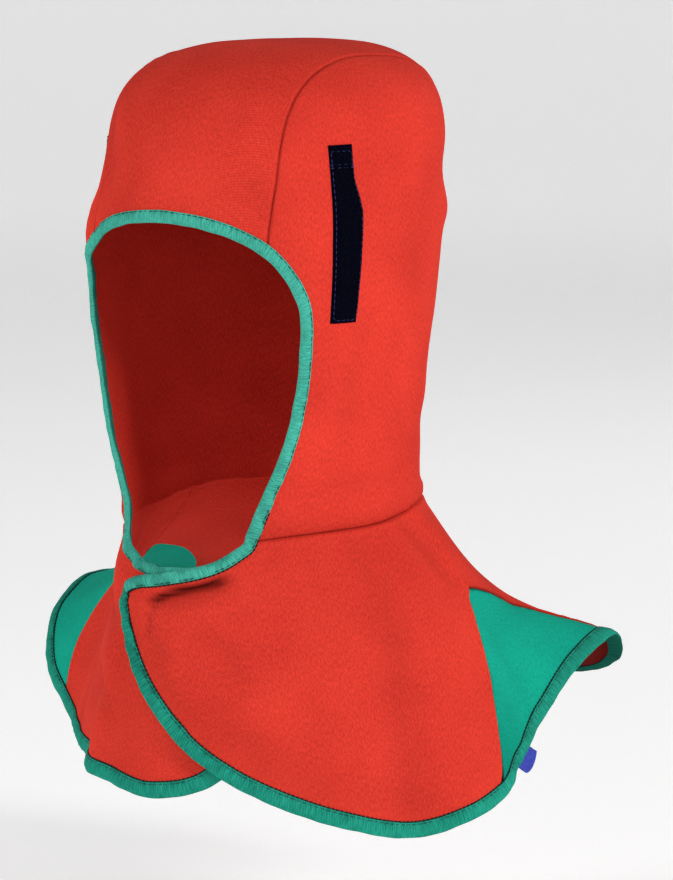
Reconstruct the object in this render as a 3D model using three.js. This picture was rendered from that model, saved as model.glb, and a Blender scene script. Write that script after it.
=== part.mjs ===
// A welder's hood of flame-resistant cotton, hanging as it does on a head.
// A crown band runs from the brow over the head to the nape, between two side panels.
// Below the neck seam hangs a shoulder cape: two overlapping fronts, two green gussets and a back.
// One green binding edges the face opening and another the fronts and the hem.
// Millimetres, +Z up, the face looks along -Y and the wearer's left is +X.
// The origin is the inside of the crown, where the top of the head rests.
import * as THREE from 'three';

const RADIANS = Math.PI / 180;

// Cloth and sewing
const clothThickness = 1.4;
const seamGap = 0.46;
const sewnGap = 0.4;
const bindingThickness = 0.9;
const faceBindingWidth = 4.4;
const hemBindingWidth = 6.0;
const overlapStep = 4.6;

// Head of the hood
const hoodLength = 370;
const headHalfWidth = 78;
const foreheadReach = 94;
const backReach = 96;
const crownRise = 60;
const crownSquareness = 3.2;
const crownSetBack = 20;
const crownBandHalfWidth = 49;
const neckSeamDepth = 218;

// Face opening
const openingTop = 78;
const openingHalfWidth = 59;
const chinDepth = 242;

// Cape
const capeReach = 182;
const apexRise = 0.4;

// Tape on the sides, closure tape and hem tab
const tapeLength = 82;
const tapeWidth = 16.5;
const tapeThickness = 1.6;
const closureLength = 42;
const closureHeight = 26;
const tabWidth = 14;
const tabTop = -7;
const tabFoot = 7;

// Sections of the head: depth below the crown, half width, and reach to the front and the back,
// as shares of hoodLength, headHalfWidth, foreheadReach and backReach, then how square the front is.
const headSections = [
  { depth: 0.00, width: 0.95, front: 0.80, back: 1.00, square: 2.7 },
  { depth: 0.06, width: 0.96, front: 0.82, back: 0.99, square: 2.6 },
  { depth: 0.12, width: 0.97, front: 0.85, back: 0.95, square: 2.15 },
  { depth: 0.17, width: 0.97, front: 0.89, back: 0.92, square: 2.1 },
  { depth: 0.23, width: 0.98, front: 0.95, back: 0.89, square: 2.15 },
  { depth: 0.33, width: 0.97, front: 0.98, back: 0.81, square: 2.2 },
  { depth: 0.43, width: 0.92, front: 0.96, back: 0.75, square: 2.1 },
  { depth: 0.54, width: 0.87, front: 0.94, back: 0.75, square: 1.85 },
  { depth: 0.61, width: 0.85, front: 0.95, back: 0.81, square: 1.75 },
  { depth: 0.68, width: 0.87, front: 0.98, back: 0.80, square: 1.75 },
];

// Neck seam and, in front of the face opening's foot, the edge under the chin: angle from the front
// and depth as a share of the way from neckSeamDepth at the nape to chinDepth at the front.
const neckLine = [
  { angle: 0, drop: 1.00 },
  { angle: 12, drop: 0.93 },
  { angle: 20, drop: 0.76 },
  { angle: 28, drop: 0.45 },
  { angle: 38, drop: 0.37 },
  { angle: 60, drop: 0.32 },
  { angle: 85, drop: 0.29 },
  { angle: 105, drop: 0.20 },
  { angle: 125, drop: 0.10 },
  { angle: 180, drop: 0.00 },
];

// Side of the face opening from the crown band's seam to the neck seam: depth as a share of the way
// from openingTop to chinDepth, and half width as a share of openingHalfWidth.
const openingSide = [
  { drop: 0.00, half: 0.00 },
  { drop: 0.012, half: 0.34 },
  { drop: 0.05, half: 0.66 },
  { drop: 0.11, half: 0.87 },
  { drop: 0.22, half: 1.01 },
  { drop: 0.33, half: 1.02 },
  { drop: 0.51, half: 0.95 },
  { drop: 0.66, half: 0.845 },
  { drop: 0.79, half: 0.715 },
  { drop: 0.918, half: 0.600 },
];

// Cape, one row for each meridian: angle from the front towards the wearer's left, then radius and
// depth half way down and at the hem, as shares of capeReach and hoodLength.
const capeMeridians = [
  { angle: -180, midReach: 0.60, midDepth: 0.730, hemReach: 1.04, hemDepth: 0.886 },
  { angle: -160, midReach: 0.60, midDepth: 0.725, hemReach: 1.03, hemDepth: 0.870 },
  { angle: -145, midReach: 0.62, midDepth: 0.708, hemReach: 1.03, hemDepth: 0.828 },
  { angle: -128, midReach: 0.64, midDepth: 0.700, hemReach: 1.05, hemDepth: 0.782 },
  { angle: -117, midReach: 0.65, midDepth: 0.702, hemReach: 1.09, hemDepth: 0.776 },
  { angle: -112, midReach: 0.635, midDepth: 0.707, hemReach: 1.07, hemDepth: 0.795 },
  { angle: -108, midReach: 0.615, midDepth: 0.715, hemReach: 1.03, hemDepth: 0.823 },
  { angle: -105, midReach: 0.60, midDepth: 0.722, hemReach: 0.98, hemDepth: 0.850 },
  { angle: -101, midReach: 0.57, midDepth: 0.732, hemReach: 0.89, hemDepth: 0.886 },
  { angle: -98, midReach: 0.55, midDepth: 0.742, hemReach: 0.79, hemDepth: 0.915 },
  { angle: -92, midReach: 0.52, midDepth: 0.750, hemReach: 0.68, hemDepth: 0.932 },
  { angle: -75, midReach: 0.46, midDepth: 0.762, hemReach: 0.55, hemDepth: 0.936 },
  { angle: -50, midReach: 0.425, midDepth: 0.768, hemReach: 0.48, hemDepth: 0.930 },
  { angle: -25, midReach: 0.48, midDepth: 0.775, hemReach: 0.54, hemDepth: 0.926 },
  { angle: 0, midReach: 0.54, midDepth: 0.792, hemReach: 0.58, hemDepth: 0.940 },
  { angle: 25, midReach: 0.54, midDepth: 0.788, hemReach: 0.57, hemDepth: 0.960 },
  { angle: 50, midReach: 0.53, midDepth: 0.782, hemReach: 0.58, hemDepth: 0.980 },
  { angle: 75, midReach: 0.53, midDepth: 0.770, hemReach: 0.603, hemDepth: 0.994 },
  { angle: 98, midReach: 0.555, midDepth: 0.748, hemReach: 0.677, hemDepth: 0.958 },
  { angle: 108, midReach: 0.56, midDepth: 0.731, hemReach: 0.677, hemDepth: 0.928 },
  { angle: 120, midReach: 0.575, midDepth: 0.718, hemReach: 0.726, hemDepth: 0.877 },
  { angle: 130, midReach: 0.595, midDepth: 0.714, hemReach: 0.822, hemDepth: 0.824 },
  { angle: 140.4, midReach: 0.61, midDepth: 0.721, hemReach: 0.968, hemDepth: 0.797 },
  { angle: 149, midReach: 0.605, midDepth: 0.733, hemReach: 1.055, hemDepth: 0.845 },
  { angle: 160, midReach: 0.60, midDepth: 0.735, hemReach: 1.06, hemDepth: 0.880 },
  { angle: 180, midReach: 0.60, midDepth: 0.730, hemReach: 1.04, hemDepth: 0.886 },
];

// Free edges of the two fronts: angle, and share of the way from the neck line down to the hem.
const leftFrontEdge = [
  { angle: -15, down: 0.00 },
  { angle: -14.5, down: 0.12 },
  { angle: -9.5, down: 0.38 },
  { angle: 2, down: 0.61 },
  { angle: 18, down: 0.81 },
  { angle: 43, down: 0.935 },
  { angle: 70, down: 0.985 },
  { angle: 98, down: 1.00 },
];
const rightFrontEdge = [
  { angle: 41, down: 0.02 },
  { angle: 40, down: 0.20 },
  { angle: 38, down: 0.45 },
  { angle: 32, down: 0.68 },
  { angle: 20, down: 0.87 },
  { angle: 5, down: 0.97 },
  { angle: -14, down: 1.00 },
  { angle: -98, down: 1.00 },
];

// Soft dents and folds: centre as an angle and a share of hoodLength, size across and down in
// degrees and shares of hoodLength, and push outwards in millimetres.
const headFolds = [
  { angle: 150, depth: 0.215, across: 26, down: 0.030, push: 3.0 },
  { angle: 150, depth: 0.160, across: 26, down: 0.030, push: -1.5 },
];

// Where the panels meet, as angles from the front
const openingFootAngle = 28;
const shoulderAngle = 112;
const napeAngle = 150;
const gussetFrontAngle = 98;
const gussetBackAngle = 140.4;
const rightGussetBackAngle = 128;
const apexAngle = 108;
const seamBow = { angle: 40, rise: 0.2 };

// Number of steps along each stretch of seam
const steps = { face: 11, seamFront: 4, seamTop: 14, brow: 12, chin: 6, shoulder: 10, neckBack: 4, capeTop: 3, capeLow: 6, gussetHem: 8 };

// Value of a named column at x, by a cubic through the rows that doesn't overshoot much.
function column(rows, key, name, x) {
  const last = rows.length - 1;
  const clamped = Math.min(Math.max(x, rows[0][key]), rows[last][key]);
  let i = 0;
  while (i < last - 1 && clamped > rows[i + 1][key]) i += 1;
  const slope = (j) => {
    const before = rows[Math.max(j - 1, 0)];
    const after = rows[Math.min(j + 1, last)];
    return (after[name] - before[name]) / (after[key] - before[key]);
  };
  const width = rows[i + 1][key] - rows[i][key];
  const t = (clamped - rows[i][key]) / width;
  const fall = (1 + 2 * t) * (1 - t) * (1 - t);
  const rise = t * t * (3 - 2 * t);
  const leave = t * (1 - t) * (1 - t) * width * slope(i);
  const arrive = t * t * (t - 1) * width * slope(i + 1);
  return fall * rows[i][name] + rise * rows[i + 1][name] + leave + arrive;
}

const smoothstep = (from, to, x) => {
  const t = Math.min(Math.max((x - from) / (to - from), 0), 1);
  return t * t * (3 - 2 * t);
};

const wrapDegrees = (angle) => ((angle + 540) % 360) - 180;

function foldPush(angle, depth) {
  return headFolds.reduce((sum, fold) => {
    const across = (Math.abs(wrapDegrees(angle)) - fold.angle) / fold.across;
    const down = (depth / hoodLength - fold.depth) / fold.down;
    return sum + fold.push * Math.exp(-across * across - down * down);
  }, 0);
}

// Whether a place at x and y lies inside the head's section at a depth below the crown.
function insideSection(x, y, depth) {
  if (depth <= 0) return false;
  const share = depth / hoodLength;
  const rise = 1 - Math.min(depth / crownRise, 1);
  const dome = (1 - rise ** crownSquareness) ** (1 / crownSquareness);
  const centre = crownSetBack * (1 - dome);
  const forward = centre - y;
  const value = (name) => column(headSections, 'depth', name, share);
  const square = forward > 0 ? value('square') : 2.25;
  const width = dome * headHalfWidth * value('width');
  const reach = dome * (forward > 0 ? foreheadReach * value('front') : backReach * value('back'));
  const fold = 1 + foldPush(Math.atan2(x, -y) / RADIANS, depth) / reach;
  return (Math.abs(x) / width / fold) ** square + (Math.abs(forward) / reach / fold) ** square < 1;
}

// Radius of the hood's head at an angle from the front and a depth below the crown.
function headRadius(angle, depth) {
  const turn = angle * RADIANS;
  let near = 0;
  let far = 2 * headHalfWidth;
  for (let i = 0; i < 44; i += 1) {
    const middle = (near + far) / 2;
    if (insideSection(middle * Math.sin(turn), -middle * Math.cos(turn), depth)) near = middle;
    else far = middle;
  }
  return near;
}

const crownTop = clothThickness / 2;

function around(angle, radius, depth) {
  const turn = angle * RADIANS;
  return new THREE.Vector3(radius * Math.sin(turn), -radius * Math.cos(turn), crownTop - depth);
}

const angleOf = (p) => Math.atan2(p.x, -p.y) / RADIANS;
const depthOf = (p) => crownTop - p.z;
const insideHead = (p) => insideSection(p.x, p.y, depthOf(p));

// Where a ray from inside the head leaves it.
function headSurface(from, direction) {
  let near = 0;
  let far = 2 * hoodLength;
  for (let i = 0; i < 46; i += 1) {
    const middle = (near + far) / 2;
    if (insideHead(from.clone().addScaledVector(direction, middle))) near = middle;
    else far = middle;
  }
  return from.clone().addScaledVector(direction, near);
}

const neckDepth = (angle) =>
  neckSeamDepth + (chinDepth - neckSeamDepth) * column(neckLine, 'angle', 'drop', Math.abs(wrapDegrees(angle)));

// A point of the cape, by its angle and its share of the way down, sunk inwards by a layer.
function capePoint(angle, down, sunk = 0) {
  const turned = wrapDegrees(angle);
  const top = neckDepth(turned);
  const neck = { radius: headRadius(turned, top), depth: top };
  const value = (name) => column(capeMeridians, 'angle', name, turned);
  const middle = { radius: capeReach * value('midReach'), depth: hoodLength * value('midDepth') };
  const hem = { radius: capeReach * value('hemReach'), depth: hoodLength * value('hemDepth') };
  const along = (key) => (
    neck[key] * (1 - down) * (1 - 2 * down)
    + middle[key] * 4 * down * (1 - down)
    + hem[key] * down * (2 * down - 1));
  return around(turned, along('radius') - sunk, along('depth'));
}

// The right front lies under the left one, so it sinks as it nears the overlap.
const sunkAt = (angle) => overlapStep * smoothstep(-openingFootAngle + 1, -13.5, angle);

// Points evenly spaced along a table's curve, as {angle, down}.
function edgeCurve(rows, count) {
  const curve = new THREE.SplineCurve(rows.map((row) => new THREE.Vector2(row.angle, row.down * 60)));
  return curve.getSpacedPoints(count).map((p) => ({ angle: p.x, down: p.y / 60 }));
}

const spread = (from, to, count) =>
  Array.from({ length: count + 1 }, (_, i) => from + ((to - from) * i) / count);

const blend = (a, b, t) => {
  const mixed = {};
  Object.keys(a).forEach((key) => { mixed[key] = a[key] + (b[key] - a[key]) * t; });
  return mixed;
};

// A grid of places between four edges that share corners. Rows run from top to bottom.
function patch(top, bottom, left, right) {
  const rows = left.length - 1;
  const columns = top.length - 1;
  const keys = Object.keys(top[0]);
  return left.map((_, i) => top.map((__, j) => {
    const u = j / columns;
    const v = i / rows;
    const place = {};
    keys.forEach((key) => {
      const straight = (1 - v) * top[j][key] + v * bottom[j][key] + (1 - u) * left[i][key] + u * right[i][key];
      const corners = (1 - u) * (1 - v) * top[0][key] + u * (1 - v) * top[columns][key]
        + (1 - u) * v * bottom[0][key] + u * v * bottom[columns][key];
      place[key] = straight - corners;
    });
    return place;
  }));
}

// Adds a line of places next to a free edge, a width inside it.
function addBindingRow(places, toPoint, width) {
  const edge = places[0].map(toPoint);
  const inner = places[1].map(toPoint);
  const last = edge.length - 1;
  const row = places[0].map((place, j) => {
    const along = edge[Math.min(j + 1, last)].clone().sub(edge[Math.max(j - 1, 0)]).normalize();
    const inward = inner[j].clone().sub(edge[j]);
    const reach = inward.length();
    const square = Math.max(along.cross(inward.divideScalar(reach)).length(), 0.5);
    return blend(place, places[1][j], Math.min(width / square / reach, 0.9));
  });
  return [places[0], row, ...places.slice(1)];
}

const transpose = (grid) => grid[0].map((_, j) => grid.map((row) => row[j]));
const flipRows = (grid) => [...grid].reverse();
const flipColumns = (grid) => grid.map((row) => [...row].reverse());

// Crown band: places are a share across and an angle round the head in the plane of the band.
const headCentre = new THREE.Vector3(0, 0, -hoodLength * 0.3);

function crownPoint({ across, turn }) {
  const from = new THREE.Vector3(across * crownBandHalfWidth, 0, headCentre.z);
  const direction = new THREE.Vector3(0, -Math.cos(turn * RADIANS), Math.sin(turn * RADIANS));
  return headSurface(from, direction);
}

// Turn of the band's ray that reaches a depth, searched between two turns.
function turnAt(across, low, high, tooHigh) {
  let from = low;
  let to = high;
  for (let i = 0; i < 40; i += 1) {
    const middle = (from + to) / 2;
    if (tooHigh(crownPoint({ across, turn: middle }))) to = middle;
    else from = middle;
  }
  return (from + to) / 2;
}

function openingHalf(depth) {
  const drop = (depth - openingTop) / (chinDepth - openingTop);
  return openingHalfWidth * column(openingSide, 'drop', 'half', drop);
}

const browTurn = (across) => turnAt(across, -60, 80, (p) =>
  depthOf(p) < openingTop || Math.abs(p.x) > openingHalf(depthOf(p)));
const napeTurn = (across) => turnAt(across, 120, 250, (p) => depthOf(p) > neckDepth(angleOf(p)));

function spacedTurns(across, count) {
  const from = browTurn(across);
  const to = napeTurn(across);
  const fine = spread(from, to, 240).map((turn) => ({ turn, point: crownPoint({ across, turn }) }));
  const lengths = [0];
  for (let i = 1; i < fine.length; i += 1) {
    lengths.push(lengths[i - 1] + fine[i].point.distanceTo(fine[i - 1].point));
  }
  const total = lengths[lengths.length - 1];
  return spread(0, total, count).map((wanted) => {
    let i = 1;
    while (i < lengths.length - 1 && lengths[i] < wanted) i += 1;
    const t = (wanted - lengths[i - 1]) / (lengths[i] - lengths[i - 1]);
    return fine[i - 1].turn + (fine[i].turn - fine[i - 1].turn) * t;
  });
}

const seamSteps = steps.seamFront + steps.seamTop + steps.face + steps.seamFront;

function crownBandPlaces() {
  const columns = spread(-1, 1, steps.brow).map((across) =>
    spacedTurns(across, seamSteps).map((turn) => ({ across, turn })));
  return transpose(columns);
}

// Side panel: places are directions seen from the head's centre.
const directionOf = (p) => {
  const seen = p.clone().sub(headCentre);
  return {
    angle: angleOf(seen),
    lift: Math.atan2(seen.z, Math.hypot(seen.x, seen.y)) / RADIANS,
  };
};

function sidePoint({ angle, lift }) {
  const level = Math.cos(lift * RADIANS);
  const direction = new THREE.Vector3(
    level * Math.sin(angle * RADIANS), -level * Math.cos(angle * RADIANS), Math.sin(lift * RADIANS));
  return headSurface(headCentre, direction);
}

// Edge of the face opening on one side, from the crown band's seam down to the neck seam.
function facePoints(seamDepth) {
  const footDepth = neckDepth(openingFootAngle);
  const fine = spread(seamDepth, footDepth, 160).map((depth) => {
    const half = openingHalf(depth);
    let low = 0;
    let high = 90;
    for (let i = 0; i < 40; i += 1) {
      const middle = (low + high) / 2;
      if (headRadius(middle, depth) * Math.sin(middle * RADIANS) < half) low = middle;
      else high = middle;
    }
    return around(low, headRadius(low, depth), depth);
  });
  const foot = around(openingFootAngle, headRadius(openingFootAngle, footDepth), footDepth);
  fine[fine.length - 1] = foot;
  return new THREE.CatmullRomCurve3(fine).getSpacedPoints(steps.face);
}

const neckPoint = (angle) => around(angle, headRadius(angle, neckDepth(angle)), neckDepth(angle));

const bandPlaces = crownBandPlaces();
const leftSeam = bandPlaces.map((row) => crownPoint(row[steps.brow]));
const napeSeamAngle = angleOf(leftSeam[seamSteps]);

function sidePanelPlaces() {
  const face = facePoints(depthOf(leftSeam[0])).reverse();
  face[face.length - 1] = leftSeam[0];
  const topFrom = steps.seamFront;
  const topTo = topFrom + steps.seamTop;
  const front = [...face, ...leftSeam.slice(1, topFrom + 1)].reverse();
  const top = leftSeam.slice(topFrom, topTo + 1);
  const back = leftSeam.slice(topTo);
  const bottom = neckAngles(openingFootAngle, napeSeamAngle).map(neckPoint);
  const places = (points) => points.map(directionOf);
  return patch(places(top), places(bottom), places(front), places(back));
}

// Angles of the neck seam's stations from the opening's foot to the shoulder seam and on to the nape.
function neckAngles() {
  const toShoulder = spread(openingFootAngle, shoulderAngle, steps.shoulder);
  const toNape = spread(shoulderAngle, napeSeamAngle, steps.neckBack);
  return [...toShoulder, ...toNape.slice(1)];
}

// Cape seams: the shoulder seam runs from the neck seam to the gusset's tip, and the gusset's two
// seams run on from there to the hem.
const tip = { angle: apexAngle, down: apexRise };
const run = (from, to, count) => spread(0, 1, count).map((t) => blend(from, to, t));
const shoulderSeam = run({ angle: shoulderAngle, down: 0 }, tip, steps.capeTop);
const gussetFrontSeam = run(tip, { angle: gussetFrontAngle, down: 1 }, steps.capeLow);
const bowedSeam = (hemAngle) => run(tip, { angle: hemAngle, down: 1 }, steps.capeLow).map(({ angle, down }, i) => {
  const t = i / steps.capeLow;
  return { angle: angle + seamBow.angle * t * (1 - t), down: down - seamBow.rise * t * (1 - t) };
});
const gussetBackSeam = bowedSeam(gussetBackAngle);
const rightGussetBackSeam = bowedSeam(rightGussetBackAngle);

const onNeck = (angles) => angles.map((angle) => ({ angle, down: 0 }));

function frontPlaces(edge, cornerAngle, chinSteps) {
  const chin = spread(cornerAngle, openingFootAngle, chinSteps);
  const start = edge[0].down;
  const chinRun = chin.map((angle, i) => ({ angle, down: start * (1 - i / chinSteps) ** 2 }));
  const shoulder = onNeck(spread(openingFootAngle, shoulderAngle, steps.shoulder));
  const top = [...chinRun, ...shoulder.slice(1)];
  const right = [...shoulderSeam, ...gussetFrontSeam.slice(1)];
  const curve = edgeCurve(edge, right.length - 1 + top.length - 1);
  return patch(top, curve.slice(right.length - 1), curve.slice(0, right.length), right);
}

function gussetPlaces(backSeam) {
  const hem = run(gussetFrontSeam[steps.capeLow], backSeam[steps.capeLow], steps.gussetHem);
  return patch(hem.map(() => tip), hem, gussetFrontSeam, backSeam);
}

function backPlaces() {
  const down = neckAngles().slice(steps.shoulder).map((angle) => angle);
  const nape = bandPlaces[seamSteps].map((place) => angleOf(crownPoint(place)));
  const middle = nape.reverse().map((angle) => (angle < 0 ? angle + 360 : angle));
  const ends = down.map((angle) => 360 - angle).reverse();
  const top = onNeck([...down, ...middle.slice(1, -1), ...ends]);
  const hem = run({ angle: gussetBackAngle, down: 1 }, { angle: 360 - rightGussetBackAngle, down: 1 }, top.length - 1);
  const left = [...shoulderSeam, ...gussetBackSeam.slice(1)];
  const right = [...shoulderSeam, ...rightGussetBackSeam.slice(1)].map(({ angle, down: share }) => ({ angle: 360 - angle, down: share }));
  return patch(top, hem, left, right);
}

const pointsOf = (places, toPoint) => places.map((row) => row.map(toPoint));
const mirrorGrid = (grid) => grid.map((row) => row.map((p) => new THREE.Vector3(-p.x, p.y, p.z)));

const leftCape = ({ angle, down }) => capePoint(angle, down);
const rightCape = ({ angle, down }) => capePoint(-angle, down);
const underCape = ({ angle, down }) => capePoint(-angle, down, sunkAt(-angle));

const bindTop = (places, toPoint) => addBindingRow(places, toPoint, faceBindingWidth);
const bindBottom = (places, toPoint) => flipRows(addBindingRow(flipRows(places), toPoint, hemBindingWidth));
const bindLeft = (places, toPoint, width) => transpose(addBindingRow(transpose(places), toPoint, width));

const bandGrid = pointsOf(flipRows(bindTop(bandPlaces, crownPoint)), crownPoint);
const sideGrid = pointsOf(bindLeft(sidePanelPlaces(), sidePoint, faceBindingWidth), sidePoint);
const boundFront = (edge, corner, chinSteps, toPoint) =>
  pointsOf(
    bindBottom(bindTop(bindLeft(frontPlaces(edge, corner, chinSteps), toPoint, hemBindingWidth), toPoint), toPoint),
    toPoint);
const rightChinSteps = steps.chin + 3;
const rightEdge = rightFrontEdge.map(({ angle, down }) => ({ angle: -angle, down }));
const leftFrontGrid = boundFront(leftFrontEdge, leftFrontEdge[0].angle, steps.chin, leftCape);
const rightFrontGrid = boundFront(rightEdge, rightEdge[0].angle, rightChinSteps, underCape);
const leftGussetGrid = pointsOf(bindBottom(gussetPlaces(gussetBackSeam), leftCape), leftCape);
const rightGussetGrid = pointsOf(bindBottom(gussetPlaces(rightGussetBackSeam), rightCape), rightCape);
const backGrid = pointsOf(bindBottom(backPlaces(), leftCape), leftCape);

// Panels, each with its grid of points and which of its edges are sewn to a neighbour.
const always = () => true;
const never = () => false;
const panels = {
  crown_panel: { grid: bandGrid, top: always, bottom: never, left: always, right: always },
  side_panel_left: {
    grid: sideGrid, top: always, bottom: always, left: (i) => i <= steps.seamFront, right: always,
  },
  side_panel_right: {
    grid: mirrorGrid(sideGrid).map((row) => [...row].reverse()),
    top: always, bottom: always, left: always, right: (i) => i <= steps.seamFront,
  },
  front_cape_left: {
    grid: leftFrontGrid, top: (j) => j > steps.chin, bottom: never, left: never, right: always,
  },
  front_cape_right: {
    grid: flipColumns(rightFrontGrid),
    top: (j) => j < rightFrontGrid[0].length - 1 - rightChinSteps,
    bottom: never, left: always, right: never,
  },
  back_cape: { grid: backGrid, top: always, bottom: never, left: always, right: always },
  shoulder_gusset_left: { grid: leftGussetGrid, top: always, bottom: never, left: always, right: always },
  shoulder_gusset_right: {
    grid: flipColumns(rightGussetGrid), top: always, bottom: never, left: always, right: always,
  },
};

// Shared normals: panels that meet at a seam lean the same way there.
const normals = new Map();
const keyOf = (p) => [p.x, p.y, p.z].map((value) => Math.round(value * 20 + 0.013)).join(' ');

function addNormals(grid) {
  for (let i = 0; i < grid.length - 1; i += 1) {
    for (let j = 0; j < grid[0].length - 1; j += 1) {
      const corners = [grid[i][j], grid[i + 1][j], grid[i + 1][j + 1], grid[i][j + 1]];
      const across = corners[2].clone().sub(corners[0]);
      const facing = corners[1].clone().sub(corners[3]).cross(across);
      corners.forEach((p) => {
        const sum = normals.get(keyOf(p)) ?? new THREE.Vector3();
        normals.set(keyOf(p), sum.add(facing));
      });
    }
  }
}
Object.values(panels).forEach(({ grid }) => addNormals(grid));
const normalOf = (p) => normals.get(keyOf(p)).clone().normalize();

// Draws sewn edges in a little, so that panels meet with a gap.
function pullIn({ grid, top, bottom, left, right }) {
  const rows = grid.length - 1;
  const columns = grid[0].length - 1;
  const step = (p, toward, along) => {
    const inward = toward.clone().sub(p);
    if (inward.length() < 1e-6) return inward;
    const square = along.clone().normalize().cross(inward.normalize()).length();
    return inward.multiplyScalar(seamGap / 2 / Math.max(square, 0.4));
  };
  const alongRow = (i, j) => grid[i][Math.min(j + 1, columns)].clone().sub(grid[i][Math.max(j - 1, 0)]);
  const alongColumn = (i, j) => grid[Math.min(i + 1, rows)][j].clone().sub(grid[Math.max(i - 1, 0)][j]);
  return grid.map((row, i) => row.map((p, j) => {
    const moved = p.clone();
    if (grid[0][0].distanceTo(grid[0][columns]) < 1e-6 && i === 0) {
      const toward = grid[1][Math.round(columns / 2)].clone().sub(p);
      return moved.add(toward.setLength(seamGap * 3));
    }
    const sewnAbove = i === 0 && top(j);
    const sewnBelow = i === rows && bottom(j);
    if (sewnAbove) moved.add(step(p, grid[1][j], alongRow(i, j)));
    if (sewnBelow) moved.add(step(p, grid[rows - 1][j], alongRow(i, j)));
    if (j === 0 && (left(i) || sewnBelow)) moved.add(step(p, grid[i][1], alongColumn(i, j)));
    if (j === columns && (right(i) || sewnBelow)) moved.add(step(p, grid[i][columns - 1], alongColumn(i, j)));
    return moved;
  }));
}

// One closed geometry from quads given as rings of points.
function solidFromQuads(quads) {
  const positions = [];
  const triangle = (a, b, c) => {
    const area = b.clone().sub(a).cross(c.clone().sub(a)).length();
    if (a.distanceTo(b) < 1e-5 || b.distanceTo(c) < 1e-5 || c.distanceTo(a) < 1e-5 || area < 1e-9) return;
    [a, b, c].forEach((p) => positions.push(p.x, p.y, p.z));
  };
  quads.forEach(([a, b, c, d]) => {
    if (a.distanceTo(c) <= b.distanceTo(d)) {
      triangle(a, b, c);
      triangle(a, c, d);
    } else {
      triangle(a, b, d);
      triangle(b, c, d);
    }
  });
  const geometry = new THREE.BufferGeometry();
  geometry.setAttribute('position', new THREE.Float32BufferAttribute(positions, 3));
  geometry.computeVertexNormals();
  return geometry;
}

// A sheet of even thickness over a grid of points.
function sheet(grid, normalAt, out, inn) {
  const rows = grid.length - 1;
  const columns = grid[0].length - 1;
  const lift = (amount) => grid.map((row, i) => row.map((p, j) => p.clone().addScaledVector(normalAt(i, j), amount)));
  const outer = lift(out);
  const inner = lift(inn);
  const quads = [];
  for (let i = 0; i < rows; i += 1) {
    for (let j = 0; j < columns; j += 1) {
      quads.push([outer[i][j], outer[i + 1][j], outer[i + 1][j + 1], outer[i][j + 1]]);
      quads.push([inner[i][j + 1], inner[i + 1][j + 1], inner[i + 1][j], inner[i][j]].map((p) => p));
    }
  }
  for (let j = 0; j < columns; j += 1) {
    quads.push([outer[0][j], outer[0][j + 1], inner[0][j + 1], inner[0][j]]);
    quads.push([outer[rows][j + 1], outer[rows][j], inner[rows][j], inner[rows][j + 1]]);
  }
  for (let i = 0; i < rows; i += 1) {
    quads.push([outer[i + 1][0], outer[i][0], inner[i][0], inner[i + 1][0]]);
    quads.push([outer[i][columns], outer[i + 1][columns], inner[i + 1][columns], inner[i][columns]]);
  }
  return solidFromQuads(quads);
}

// A folded binding over an edge. Each station holds the edge's point and the point a binding's
// width inside it, each with its normal.
function binding(stations) {
  const seat = clothThickness / 2 + sewnGap;
  const skin = seat + bindingThickness;
  const rings = stations.map(({ edge, edgeNormal, inner, innerNormal }) => {
    const inward = inner.clone().sub(edge).normalize();
    const at = (base, normal, height, inset) =>
      base.clone().addScaledVector(normal, height).addScaledVector(inward, inset);
    return [
      at(inner, innerNormal, seat, 0),
      at(inner, innerNormal, skin, 0),
      at(edge, edgeNormal, skin, 0.6),
      at(edge, edgeNormal, seat, -0.7 * bindingThickness - sewnGap),
      at(edge, edgeNormal, 0, -bindingThickness - sewnGap),
      at(edge, edgeNormal, -seat, -0.7 * bindingThickness - sewnGap),
      at(edge, edgeNormal, -skin, 0.6),
      at(inner, innerNormal, -skin, 0),
      at(inner, innerNormal, -seat, 0),
      at(edge, edgeNormal, -seat, -sewnGap),
      at(edge, edgeNormal, seat, -sewnGap),
    ];
  });
  const count = rings[0].length;
  const quads = [];
  for (let i = 0; i < rings.length - 1; i += 1) {
    for (let k = 0; k < count; k += 1) {
      const next = (k + 1) % count;
      quads.push([rings[i][k], rings[i + 1][k], rings[i + 1][next], rings[i][next]]);
    }
  }
  const cap = (ring) => [
    [ring[0], ring[1], ring[2], ring[10]],
    [ring[10], ring[2], ring[3], ring[3]],
    [ring[10], ring[3], ring[4], ring[9]],
    [ring[9], ring[4], ring[5], ring[5]],
    [ring[9], ring[5], ring[6], ring[8]],
    [ring[8], ring[6], ring[7], ring[7]],
  ];
  const first = cap(rings[0]).map((quad) => [...quad]);
  const last = cap(rings[rings.length - 1]).map((quad) => [...quad].reverse());
  return solidFromQuads([...quads, ...first, ...last]);
}

const station = (edge, inner) => ({ edge, inner, edgeNormal: normalOf(edge), innerNormal: normalOf(inner) });

// Moves an end station along the run, to leave a gap to the next binding.
function nudge(from, to) {
  const shift = to.edge.clone().sub(from.edge).setLength(0.2);
  return { ...from, edge: from.edge.clone().add(shift), inner: from.inner.clone().add(shift) };
}

const chinStations = (grid, chinSteps) => {
  const runOf = [station(grid[0][0], grid[1][1])];
  for (let j = 1; j <= chinSteps + 1; j += 1) runOf.push(station(grid[0][j], grid[1][j]));
  return runOf;
};
const sideStations = (grid) =>
  grid.slice(steps.seamFront).map((row) => station(row[0], row[1])).reverse();

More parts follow.
